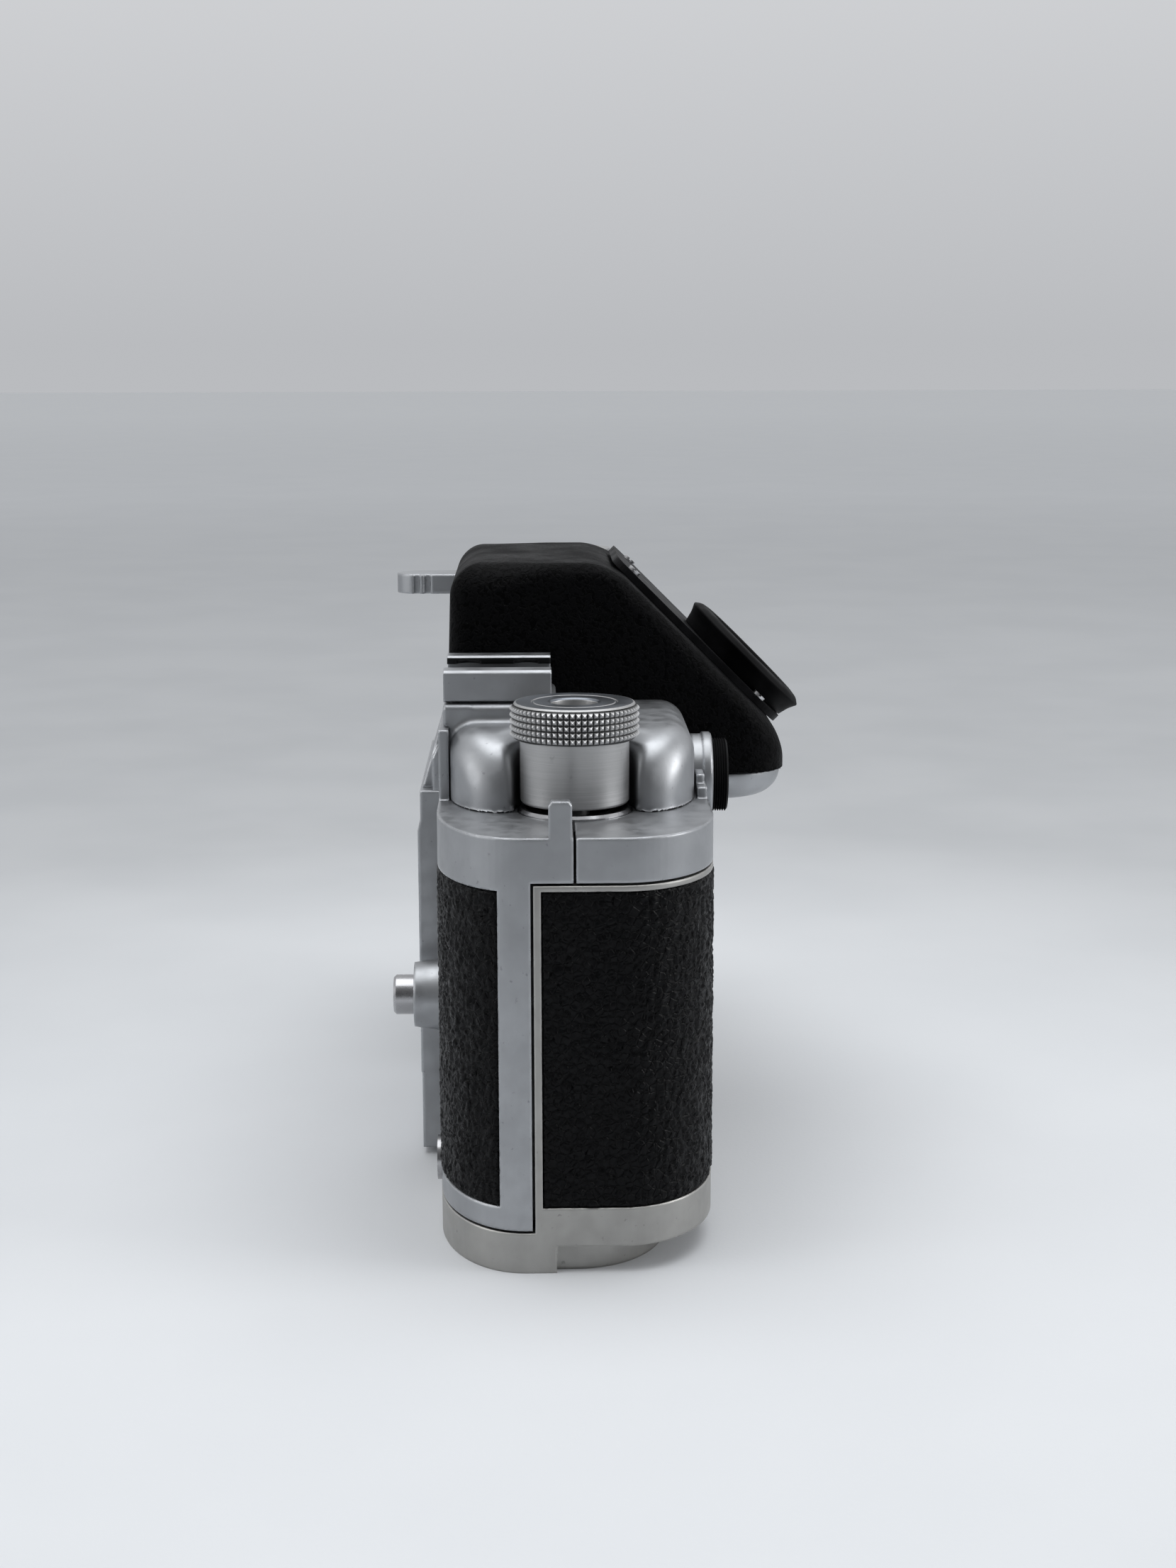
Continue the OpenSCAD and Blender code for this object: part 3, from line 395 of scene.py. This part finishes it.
def clear_glass(name, tint, roughness=0.03, coating=(0.25, 0.2, 0.5)):
    """Coated optical glass, lightly dusty."""
    n = Nodes(name)
    dust = n.ramp(n.noise(0.8, 4), 0.5, 0.8, roughness, roughness + 0.12)
    tone = n.mix(n.ramp(n.noise(10, 2), 0.3, 0.7), tint, scaled_colour(tint, 0.94))
    n.set(Base_Color=tone, Roughness=dust)
    n.shader.inputs["Transmission Weight"].default_value = 1.0
    n.shader.inputs["IOR"].default_value = 1.52
    n.shader.inputs["Specular Tint"].default_value = (*scaled_colour(coating, 2.4), 1)
    return n.material


def silvered(name):
    n = Nodes(name)
    haze = n.ramp(n.noise(5, 5), 0.35, 0.75, 0.02, 0.09)
    tone = n.mix(n.ramp(n.noise(9, 3), 0.3, 0.7), (0.86, 0.87, 0.88), (0.93, 0.94, 0.95))
    return n.set(Base_Color=tone, Metallic=1.0, Roughness=haze)


CHROME = (0.375, 0.385, 0.40)
MATERIALS = {
    "satin_chrome": satin_metal("satin_chrome", CHROME, 0.43, edge_mm=0.7),
    "warm_chrome": satin_metal("warm_chrome", (0.39, 0.385, 0.37), 0.46, edge_mm=0.5),
    "polished_steel": polished_metal("polished_steel", (0.42, 0.42, 0.43), 0.24),
    "turned_steel": turned_metal("turned_steel", (0.42, 0.42, 0.42), 0.38),
    "black_leather": leather_black("black_leather"),
    "black_crinkle": crinkle_paint("black_crinkle", (0.0025, 0.0025, 0.0028), 0.8, 0.1),
    "black_paint": matte_black("black_paint", (0.008, 0.008, 0.0085)),
    "black_rubber": rubber_black("black_rubber"),
    "gloss_black": gloss_black("gloss_black"),
    "screw_steel": turned_metal("screw_steel", (0.58, 0.58, 0.59), 0.28, 0.08),
    "chassis_alloy": matte_black("chassis_alloy", (0.05, 0.05, 0.052), 0.5, 0.4, 0.02, 0.8),
    "lens_glass": clear_glass("lens_glass", (0.92, 0.95, 0.97)),
    "prism_glass": clear_glass("prism_glass", (0.9, 0.95, 0.95), 0.02),
    "mirror_face": silvered("mirror_face"),
    "curtain_cloth": cloth_black("curtain_cloth"),
    "spring_steel": polished_metal("spring_steel", (0.5, 0.5, 0.5), 0.25),
    "spool_plastic": matte_black("spool_plastic", (0.015, 0.015, 0.016), 0.4, 0.5, 0.004),
    "gear_brass": turned_metal("gear_brass", (0.62, 0.45, 0.2), 0.32, 0.1),
}


# ---------------------------------------------------------------- fields and their meshes

def round_max(a, b, radius):
    """The part inside both fields, with their common edge rounded."""
    u = np.maximum(radius + a, 0)
    v = np.maximum(radius + b, 0)
    return np.minimum(-radius, np.maximum(a, b)) + np.sqrt(u * u + v * v)


def round_min(a, b, radius):
    """The part inside either field, with a fillet where they meet."""
    return -round_max(-a, -b, radius)


def oval_corner(dx, dy, a, b):
    """A corner of half axes a and b. dx and dy are measured from its centre, outwards."""
    flat = np.maximum(dx - a, dy - b)
    px, py = np.maximum(dx, 1e-9), np.maximum(dy, 1e-9)
    q = np.sqrt((px / a) ** 2 + (py / b) ** 2)
    slope = np.sqrt((px / a ** 2) ** 2 + (py / b ** 2) ** 2)
    return np.where((dx > 0) & (dy > 0), q * (q - 1) / slope, flat)


def in_box(x, y, z, low, high):
    """Distance field of a box with square edges."""
    side = np.maximum(low[0] - x, x - high[0])
    depth = np.maximum(low[1] - y, y - high[1])
    return np.maximum(np.maximum(side, depth), np.maximum(low[2] - z, z - high[2]))


def net(name, field, low, high, step):
    """Meshes the surface where the field is zero, with a vertex in each cell that it crosses."""
    axes = [np.arange(low[i] - 2 * step, high[i] + 2.5 * step, step) for i in range(3)]
    counts = [len(a) for a in axes]
    f = field(*np.meshgrid(*axes, indexing="ij", sparse=True)) + np.zeros(counts)
    cells = np.array(counts) - 1
    total = int(np.prod(cells))
    sums = np.zeros((total, 3))
    hits = np.zeros(total)
    quads = []
    for axis in range(3):
        first = [slice(None)] * 3
        second = [slice(None)] * 3
        first[axis] = slice(0, -1)
        second[axis] = slice(1, None)
        f0, f1 = f[tuple(first)], f[tuple(second)]
        where = np.argwhere((f0 < 0) != (f1 < 0))
        at = tuple(where.T)
        v0, v1 = f0[at], f1[at]
        points = np.stack([axes[i][where[:, i]] for i in range(3)], 1)
        points[:, axis] += step * v0 / (v0 - v1)
        b, c = (axis + 1) % 3, (axis + 2) % 3
        around = []
        for db, dc in ((-1, -1), (0, -1), (0, 0), (-1, 0)):
            cell = where.copy()
            cell[:, b] += db
            cell[:, c] += dc
            flat = (cell[:, 0] * cells[1] + cell[:, 1]) * cells[2] + cell[:, 2]
            around.append(flat)
            hits += np.bincount(flat, minlength=total)
            for i in range(3):
                sums[:, i] += np.bincount(flat, points[:, i], minlength=total)
        ring = np.stack(around, 1)
        ring[v0 > 0] = ring[v0 > 0][:, ::-1]
        quads.append(ring)
    quads = np.concatenate(quads)
    used = np.flatnonzero(hits)
    number = np.full(total, -1)
    number[used] = np.arange(len(used))
    points = sums[used] / hits[used, None]
    for _ in range(3):
        points = onto_surface(field, points, step)
    return make_object(name, points, number[quads].tolist())


def onto_surface(field, points, step):
    """Moves points along the field's gradient to where it is zero, at most half a step."""
    small = 0.02
    value = field(*points.T)
    slope = np.stack([
        (field(*(points + small * np.eye(3)[i]).T) - field(*(points - small * np.eye(3)[i]).T)) / (2 * small)
        for i in range(3)], 1)
    length = np.maximum((slope ** 2).sum(1), 0.2)
    move = -(value / length)[:, None] * slope
    far = np.maximum(np.linalg.norm(move, axis=1) / (0.5 * step), 1)
    return points + 0.8 * move / far[:, None]


# ---------------------------------------------------------------- top cover and prism housing

# How far the middle of the eyepiece lens lies from the prism's slope, as a sum of Y and Z
SLOPE_TO_LENS = 0.7 * math.sqrt(2)
# Height of the eyepiece plate's face above the slope
PLATE_OUT = 1.2
# Clearance round a piece that is let into another
FIT = 0.1
# Cell sizes of the meshed fields
CASTING_STEP = 0.36
RIM_STEP = 0.3


def top_cover():
    low, high = box_mm("top_cover")
    deck, floor_z, reach = high[2], low[2], high[0]
    back, front = high[1], low[1]
    knob = middle_mm("rewind_knob")
    finder_low, finder_high = box_mm("finder_block")
    window_low, window_high = box_mm("finder_window")
    eyepiece = middle_mm("finder_ring")
    prism_half = box_mm("prism_housing")[1][0]
    platform_x, platform_y, rear_deck = 44.1, -2.4, deck - 2.7
    corner_x, corner_front, corner_back = 44, -9.7, 9
    cover_front = front + 0.95
    crown_x, crown_r, crown_height = 46.5, reach - 45, 11
    notch_low, notch_wider, notch_step_z = 8.75, 1.15, 72.3
    strip_back, strip_bottom = -15, 73.45
    prism_opening, opening_front = prism_half - 0.9, -16
    finder_step_y, finder_low_top = -4.1, 72.2
    tube_r, tube_front = 5.2, 12
    window_end = np.array([window_high[0], -10 - FIT, window_high[2]])
    window_start = np.array([window_low[0], -30 + FIT, window_low[2]])
    front_end = np.array([finder_high[0], finder_step_y - FIT, finder_high[2]])
    rear_end = np.array([finder_high[0], finder_high[1], finder_low_top - FIT])

    def field(x, y, z):
        ax = np.abs(x)
        outline = np.where(
            y < 0,
            oval_corner(ax - corner_x, corner_front - y, reach - corner_x, corner_front - cover_front),
            oval_corner(ax - corner_x, y - corner_back, reach - corner_x, back - corner_back))
        crown = oval_corner(ax - crown_x, z - (rear_deck - crown_height), crown_r, crown_height)
        body = round_max(outline, crown, 4.2)
        notch_r = notch_low + notch_wider * np.clip(z - notch_step_z, 0, 1)
        notch = np.minimum(np.sqrt((ax - knob[0]) ** 2 + y ** 2) - notch_r,
                           np.maximum(np.abs(y) - notch_r, knob[0] - ax))
        body = round_max(body, -notch, 2.4)
        platform = round_max(ax - platform_x, y - platform_y, 1.6)
        platform = round_max(platform, z - deck, 0.8)
        platform = np.maximum(platform, cover_front - y)
        strip = np.maximum(ax - platform_x, np.maximum(y - strip_back, strip_bottom - z))
        strip = round_max(round_max(strip, z - deck, 0.5), front - y, 0.5)
        solid = np.minimum(round_min(body, platform, 0.9), strip)
        solid = np.maximum(solid, floor_z - z)
        solid = np.maximum(solid, -np.maximum(ax - prism_opening, opening_front - y))
        for start, end in ((window_start, window_end), (finder_low, front_end), (finder_low, rear_end)):
            solid = np.maximum(solid, -in_box(x, y, z, start - FIT, end + FIT))
        across = np.sqrt((x - eyepiece[0]) ** 2 + (z - eyepiece[2]) ** 2)
        tube = np.maximum(across - tube_r, tube_front - y)
        return np.maximum(solid, -tube)

    piece = net("top_cover_casting", field, low, high, CASTING_STEP)
    shade(piece, 50)
    return stand_for(piece, "top_cover", MATERIALS["satin_chrome"])


def prism_housing():
    low, high = box_mm("prism_housing")
    half = high[0]
    top, back, front = high[2], high[1], low[1]
    lens = middle_mm("eyepiece_lens")
    slope_sum = lens[1] + lens[2] - SLOPE_TO_LENS
    edge, back_corner, front_corner = 3.0, 7.5, 3
    rear_edge, front_edge_more, edge_from, edge_over = 2.8, 2.4, -4, 8
    ledge, lap, deck = 63.0, 20.0, 76.75
    front_draft, side_draft = 0.03, 0.012
    skirt_front = -16.7
    eye_r, eye_depth = 9, 5

    def field(x, y, z):
        ax = np.abs(x)
        roof = round_max(z - top, (y + z - slope_sum) / math.sqrt(2), edge)
        lean = front + front_draft * np.maximum(z - deck, 0) - y
        side = ax - half + side_draft * np.maximum(z - deck, 0)
        walls = np.maximum(round_max(side, y - back, back_corner), round_max(side, lean, front_corner))
        forward = np.clip((edge_from - y) / edge_over, 0, 1)
        solid = round_max(walls, roof, rear_edge + front_edge_more * forward)
        heel = round_max(y - back, (y + z - slope_sum) / math.sqrt(2), edge)
        solid = np.maximum(solid, heel)
        allowed = np.minimum(deck - z, np.maximum(skirt_front - y, ledge - z))
        allowed = np.minimum(allowed, np.maximum(lap - y, low[2] - z))
        solid = np.maximum(solid, allowed)
        along = ((y - lens[1]) + (z - lens[2])) / math.sqrt(2)
        across = np.sqrt(x ** 2 + (((y - lens[1]) - (z - lens[2])) / math.sqrt(2)) ** 2)
        return np.maximum(solid, -np.maximum(across - eye_r, -eye_depth - along))

    piece = net("prism_cover", field, low, high, CASTING_STEP)
    shade(piece, 50)
    return stand_for(piece, "prism_housing", MATERIALS["black_crinkle"])


def base_band():
    """The bright rounded rim under the rear of the prism."""
    low, high = box_mm("prism_base_band")
    half, back, floor_z, top, front = high[0], high[1], low[2], high[2], low[1]
    corner_r, under_r = 10.5, 4.2

    def field(x, y, z):
        ax = np.abs(x)
        plan = round_max(ax - half, y - back, corner_r)
        under = floor_z - z + 0 * x + 0 * y
        solid = round_max(plan, under, under_r)
        return np.maximum(solid, np.maximum(z - top, front - y))

    piece = net("prism_rim", field, low, high, RIM_STEP)
    shade(piece, 50)
    return stand_for(piece, "prism_base_band", MATERIALS["satin_chrome"])


# ---------------------------------------------------------------- turned pieces

def revolve(name, profile, turns=128):
    """A closed ring profile of radius and height, turned round Z."""
    profile = np.asarray(profile, float)
    angles = np.arange(turns) * 2 * math.pi / turns
    points = np.concatenate([
        np.stack([r * np.cos(angles), r * np.sin(angles), np.full(turns, h)], 1) for r, h in profile])
    faces = []
    for i in range(len(profile)):
        j = (i + 1) % len(profile)
        for k in range(turns):
            m = (k + 1) % turns
            faces.append((i * turns + k, i * turns + m, j * turns + m, j * turns + k))
    return make_object(name, points, faces)


def rounded(points, radii, steps=5):
    """An outline with each corner replaced by an arc-like curve of about the radius given."""
    points = [np.array(p, float) for p in points]
    out = []
    for i, corner in enumerate(points):
        radius = radii[i] if hasattr(radii, "__len__") else radii
        before, after = points[i - 1] - corner, points[(i + 1) % len(points)] - corner
        reach = min(radius, 0.45 * np.linalg.norm(before), 0.45 * np.linalg.norm(after))
        if reach < 1e-6:
            out.append(corner)
            continue
        a = corner + before / np.linalg.norm(before) * reach
        b = corner + after / np.linalg.norm(after) * reach
        for k in range(steps + 1):
            t = k / steps
            out.append((1 - t) ** 2 * a + 2 * t * (1 - t) * corner + t * t * b)
    return out


def rewind_knob():
    low, high = box_mm("rewind_knob")
    centre = (low + high) / 2
    head_r = (high[0] - low[0]) / 2
    top, bottom = high[2], low[2]
    shank_r, head_bottom = 7.9, 73.6
    rows, around, tooth = 5, 66, 0.50
    first, last = head_bottom + 0.25, top - 0.42
    root_r = head_r - tooth
    per = 2
    turns = around * per
    rim_r, groove_z, bore_r, shaft_r, hollow_r = head_r - 0.75, top - 0.12, 3.4, 2.25, 6.9
    bore_z, shaft_z, dark_reach = top - 2.4, top - 3.9, 4
    profile = rounded([
        (root_r, last), (rim_r, top), (6.25, top), (6.18, groove_z), (5.95, groove_z), (5.88, top),
        (3.7, top), (bore_r, top - 0.3), (bore_r, bore_z), (shaft_r, bore_z), (shaft_r, shaft_z),
        (hollow_r, shaft_z), (hollow_r, bottom + 0.3), (shank_r - 0.35, bottom), (shank_r, bottom + 0.4),
        (shank_r, head_bottom - 0.05), (rim_r, head_bottom), (root_r, first)],
        [0, 0.2, 0.03, 0, 0, 0.03, 0.25, 0.1, 0, 0, 0, 0, 0, 0.15, 0.15, 0.05, 0.2, 0], 3)
    angles = np.arange(turns) * 2 * math.pi / turns
    ring = np.stack([np.cos(angles), np.sin(angles)], 1)
    points = [np.column_stack([ring * r, np.full(turns, h)]) for r, h in profile]
    faces = []
    for i in range(len(profile) - 1):
        for k in range(turns):
            m = (k + 1) % turns
            faces.append((i * turns + k, i * turns + m, (i + 1) * turns + m, (i + 1) * turns + k))
    # Knurl: a grid of pyramids between the first and the last ring of the profile
    start = len(profile) * turns
    levels = np.linspace(last, first, rows + 1)
    grid = [0] + [start + i * turns for i in range(rows - 1)] + [(len(profile) - 1) * turns]
    for level in levels[1:-1]:
        points.append(np.column_stack([ring * root_r, np.full(turns, level)]))
    apex = start + (rows - 1) * turns
    mid = (np.arange(around) * per + per / 2) * 2 * math.pi / turns
    for i in range(rows):
        height = (levels[i] + levels[i + 1]) / 2
        points.append(np.column_stack([head_r * np.cos(mid), head_r * np.sin(mid), np.full(around, height)]))
        for k in range(around):
            tip = apex + i * around + k
            up = [grid[i] + (k * per + m) % turns for m in range(per + 1)]
            down = [grid[i + 1] + (k * per + m) % turns for m in range(per + 1)]
            loop = up + down[::-1]
            for m in range(len(loop)):
                faces.append((loop[m], tip, loop[(m + 1) % len(loop)]))
    points = np.concatenate(points)
    points[:, :2] += centre[:2]
    piece = make_object("rewind_knob_knurled", points, faces)
    face_outwards(piece)
    shade(piece, 24)
    steel = knurled_metal("knurled_steel", (0.46, 0.46, 0.46), centre, root_r, head_r)
    stand_for(piece, "rewind_knob", steel)
    piece.data.materials.append(turned_metal("knob_face", (0.2, 0.215, 0.24), 0.33))
    for polygon in piece.data.polygons:
        reach = math.hypot(polygon.center.x / MM - centre[0], polygon.center.y / MM - centre[1])
        if polygon.center.z > (top - 0.3) * MM and (polygon.normal.z > 0.99 or reach < dark_reach):
            polygon.material_index = 1
    return piece


def on_slope(piece, centre):
    """Turns a piece made round Z to face out of the slope, and puts it at a place in mm."""
    turn = Matrix.Rotation(math.radians(-45), 4, "X")
    piece.data.transform(Matrix.Translation(Vector(centre) * MM) @ turn)


def eyecup():
    low, high = box_mm("eyecup")
    radius = (high[0] - low[0]) / 2
    lens = middle_mm("eyepiece_lens")
    out = np.array([0, 1, 1]) / math.sqrt(2)
    # The eyecup's foot lies on the plate, on the lens's axis
    foot = np.array([0, lens[1], lens[2]]) + out * (PLATE_OUT - SLOPE_TO_LENS / math.sqrt(2))
    profile = rounded([
        (8.3, 1.6), (9, 1.6), (9, 0), (11, 0), (11.1, 0.35), (11.45, 1.8),
        (radius, 3.0), (radius, 3.25), (11.1, 3.95), (9.5, 4.2), (8.9, 4.0), (8.3, 3.0)],
        [0, 0, 0, 0.05, 0.1, 0.5, 0.35, 0.3, 0.5, 0.4, 0.4, 0.2], 5)
    piece = revolve("eyecup_rubber", profile, 160)
    on_slope(piece, foot)
    face_outwards(piece)
    shade(piece, 40)
    return stand_for(piece, "eyecup", MATERIALS["black_rubber"])


# ---------------------------------------------------------------- leather

def pebble(x, y, z):
    """Height of the grain, in mm: wrinkles that run aslant, broken up by rounded pebbles."""
    p = Vector((x, y, z))
    warp = noise.noise_vector(p * 0.22) * 0.9
    q = Vector((x * 0.62, y * 0.62, z * 0.40)) + warp
    cell = noise.voronoi(q * 1.35)[0]
    furrow = min(1.0, (cell[1] - cell[0]) / 0.32)
    small = noise.voronoi((p + warp * 2) * 1.25)[0]
    crack = min(1.0, (small[1] - small[0]) / 0.4)
    swell = noise.noise(p * 0.3)
    return 0.27 * furrow + 0.12 * crack + 0.08 * swell + 0.04 * noise.noise(p * 2.2)


def panel(node, path, step, z_low, z_high, lift=0.1, sink=0.3, inset=0.45, border=0.55):
    """A leather panel along a path in plan, with a domed edge and a grained face.

    The edge lies sink below the path, and the face rises above the edge by lift and the grain.
    """
    path = np.asarray(path, float)
    lengths = np.concatenate([[0], np.cumsum(np.linalg.norm(np.diff(path, axis=0), axis=1))])
    columns = int(lengths[-1] / step)
    rows = int((z_high - z_low) / step)
    s = np.linspace(0, lengths[-1], columns + 1)
    px, py = np.interp(s, lengths, path[:, 0]), np.interp(s, lengths, path[:, 1])
    tangent = np.stack([np.gradient(px), np.gradient(py)], 1)
    tangent /= np.linalg.norm(tangent, axis=1)[:, None]
    normal = np.stack([tangent[:, 1], -tangent[:, 0]], 1)
    heights = np.linspace(z_low, z_high, rows + 1)
    points = []
    for i in range(columns + 1):
        for j in range(rows + 1):
            edge = min(s[i], lengths[-1] - s[i], heights[j] - z_low, z_high - heights[j])
            dome = math.sqrt(max(0.0, 1 - (1 - min(1.0, edge / border)) ** 2))
            grain = pebble(px[i], py[i], heights[j])
            height = -sink + dome * (lift + grain)
            points.append((px[i] + normal[i, 0] * height, py[i] + normal[i, 1] * height, heights[j]))
    width = rows + 1
    faces = [
        (i * width + j, (i + 1) * width + j, (i + 1) * width + j + 1, i * width + j + 1)
        for i in range(columns) for j in range(rows)]
    # Back of the panel, let into the casting, joined to the face by a skirt
    rim = ([i * width for i in range(columns)] + [columns * width + j for j in range(rows)]
           + [i * width + rows for i in range(columns, 0, -1)] + [j for j in range(rows, 0, -1)])
    start = len(points)
    for index in rim:
        i, j = divmod(index, width)
        points.append((px[i] - normal[i, 0] * inset, py[i] - normal[i, 1] * inset, heights[j]))
    count = len(rim)
    faces += [(rim[k], start + k, start + (k + 1) % count, rim[(k + 1) % count]) for k in range(count)]
    bottom = [start + k for k in range(columns + 1)]
    top = [start + columns + rows + k for k in range(columns + 1)][::-1]
    right = [start + columns + k for k in range(rows + 1)]
    left = [start + 2 * columns + rows + k for k in range(rows)] + [start]
    faces += [(bottom[k + 1], bottom[k], top[k], top[k + 1]) for k in range(1, columns - 1)]
    faces.append((*right, top[-2], bottom[-2]))
    faces.append((*left, bottom[1], top[1]))
    piece = make_object(node + "_grained", points, faces)
    face_outwards(piece)
    shade(piece, 60)
    return stand_for(piece, node, MATERIALS["black_leather"])


def corner_path(centre, a, b, start, end, steps=40):
    angles = np.radians(np.linspace(start, end, steps + 1))
    return [(centre[0] + a * math.cos(t), centre[1] + b * math.sin(t)) for t in angles]


def leather_panels():
    half = box_mm("back_shell")[1][0]
    back_y = box_mm("back_shell")[1][1]
    front_y = box_mm("front_casting")[0][1]
    front_a, front_b, back_a, back_b = 20.4, 12.6, 17.5, 13.6
    for node, side in (("leather_front_rewind", 1), ("leather_front_wind", -1)):
        low, high = box_mm(node)
        inner = low[0] if side > 0 else high[0]
        end_y = high[1]
        corner = corner_path((half - front_a, front_y + front_b), front_a, front_b, -90, 0)
        path = [(abs(inner), front_y)] + [p for p in corner if p[1] < end_y]
        t = math.asin((end_y - front_y - front_b) / front_b)
        path.append((half - front_a + front_a * math.cos(t), end_y))
        if side < 0:
            path = [(-p[0], p[1]) for p in path][::-1]
        panel(node, path, 0.3, low[2], high[2])
    low, high = box_mm("back_leather")
    corner = corner_path((half - back_a, back_y - back_b), back_a, back_b, 0, 90)
    right = [(half, low[1])] + corner
    path = right + [(-p[0], p[1]) for p in right][::-1]
    panel("back_leather", path, 0.32, low[2], high[2])


# ---------------------------------------------------------------- stage, lights and camera

def studio_floor():
    """A wide pale floor with painted light and shade: its tone changes with the distance from the near end of
    the body.

    It stays with the base when the body is lifted off it.
    """
    floor = make_object("floor", [(-6000, -6000, 0), (6000, -6000, 0), (6000, 6000, 0), (-6000, 6000, 0)],
                        [(0, 1, 2, 3)])
    floor.data.transform(Matrix.Translation((0, 0, -0.00002)))
    n = Nodes("pale_floor")
    ramp_length = 4.0
    away = n.add("ShaderNodeVectorMath", operation="DISTANCE")
    away.inputs[1].default_value = (0.06, 0, 0)
    n.link(n.place, away.inputs[0])
    depth = n.add("ShaderNodeValToRGB")
    n.link(n.math("DIVIDE", away.outputs["Value"], ramp_length), depth.inputs["Fac"])
    stops = depth.color_ramp.elements
    stops[0].position, stops[0].color = 0.02, (0.64, 0.655, 0.675, 1)
    stops[1].position, stops[1].color = 1.0, (0.83, 0.85, 0.87, 1)
    # Painted shade and light: darkest at about 0.29 m from the body, lighter near it and far away
    between = ((0.0275, 0.645), (0.046, 0.56), (0.0725, 0.435), (0.114, 0.45), (0.185, 0.55), (0.435, 0.77))
    for position, grey in between:
        stops.new(position).color = (0.975 * grey, grey, 1.03 * grey, 1)
    cloud = n.ramp(n.noise(60, 3), 0.3, 0.7, 0.0, 0.05)
    tone = n.mix(cloud, depth.outputs["Color"], (1.0, 1.0, 1.0))
    n.set(Base_Color=tone, Roughness=0.75, Normal=n.bump(n.noise(0.8, 3), 0.02))
    n.shader.inputs["Specular IOR Level"].default_value = 0.1
    floor.data.materials.append(n.material)
    floor.parent = frame["bodies"]["back"]
    return floor


def area_light(name, place, target, size, power, colour=(1, 1, 1)):
    data = bpy.data.lights.new(name, "AREA")
    data.shape = "RECTANGLE"
    data.size, data.size_y = size
    data.energy = power
    data.color = colour
    light = bpy.data.objects.new(name, data)
    light.location = place
    light.rotation_euler = (Vector(target) - Vector(place)).to_track_quat("-Z", "Y").to_euler()
    bpy.context.scene.collection.objects.link(light)
    return light


def sky():
    """A soft grey surround, darker at the horizon and towards +X."""
    world = bpy.data.worlds.new("studio")
    world.use_nodes = True
    tree = world.node_tree
    background = tree.nodes["Background"]
    split = tree.nodes.new("ShaderNodeSeparateXYZ")
    tree.links.new(tree.nodes.new("ShaderNodeTexCoord").outputs["Generated"], split.inputs[0])
    height = tree.nodes.new("ShaderNodeValToRGB")
    tree.links.new(split.outputs["Z"], height.inputs["Fac"])
    stops = height.color_ramp.elements
    stops[0].position, stops[0].color = 0.0, (0.49, 0.50, 0.52, 1)
    stops[1].position, stops[1].color = 0.6, (0.72, 0.73, 0.745, 1)
    middle = stops.new(0.14)
    middle.color = (0.62, 0.63, 0.65, 1)
    side = tree.nodes.new("ShaderNodeMapRange")
    for key, number in (("From Min", -0.2), ("From Max", 0.9), ("To Min", 1.0), ("To Max", 0.2)):
        side.inputs[key].default_value = number
    tree.links.new(split.outputs["X"], side.inputs["Value"])
    tree.links.new(height.outputs["Color"], background.inputs["Color"])
    tree.links.new(side.outputs["Result"], background.inputs["Strength"])
    bpy.context.scene.world = world


def lighting():
    sky()
    area_light("top_softbox", (0.02, 0.0, 0.70), (0, 0, 0.05), (0.8, 0.6), 3.6, (0.97, 0.985, 1))
    area_light("left_fill", (0.18, -0.70, 0.30), (0, 0, 0.05), (0.4, 0.35), 1.1)
    area_light("right_fill", (0.12, 0.75, 0.32), (0, 0, 0.05), (0.4, 0.35), 2.2)


def camera():
    """At the near end of the body, a little above it, looking along it and slightly down."""
    data = bpy.data.cameras.new("camera")
    data.lens = 54.08
    data.sensor_width = 36
    data.clip_start = 0.01
    view = bpy.data.objects.new("camera", data)
    forward = Vector((-0.98259, 0.02230, -0.18447))
    roll = math.radians(-0.15)
    turn = forward.to_track_quat("-Z", "Y").to_matrix() @ Matrix.Rotation(roll, 3, "Z")
    view.location = (0.39025, -0.00568, 0.12966)
    view.rotation_euler = turn.to_euler()
    bpy.context.scene.collection.objects.link(view)
    bpy.context.scene.camera = view
    bpy.context.scene.view_settings.view_transform = "Standard"


# ---------------------------------------------------------------- everything in its place

def dress_cad_nodes():
    """Every CAD node that still shows gets its slot's material."""
    for name, item in frame["nodes"].items():
        item.data.materials.clear()
        item.data.materials.append(MATERIALS[slot_of(name)])
        shade(item, 30)
    frame["nodes"]["accessory_shoe"].data.materials[0] = shoe_metal("shoe_chrome", CHROME)


def main():
    camera()
    dress_cad_nodes()
    top_cover()
    prism_housing()
    base_band()
    rewind_knob()
    eyecup()
    leather_panels()
    studio_floor()
    lighting()


main()
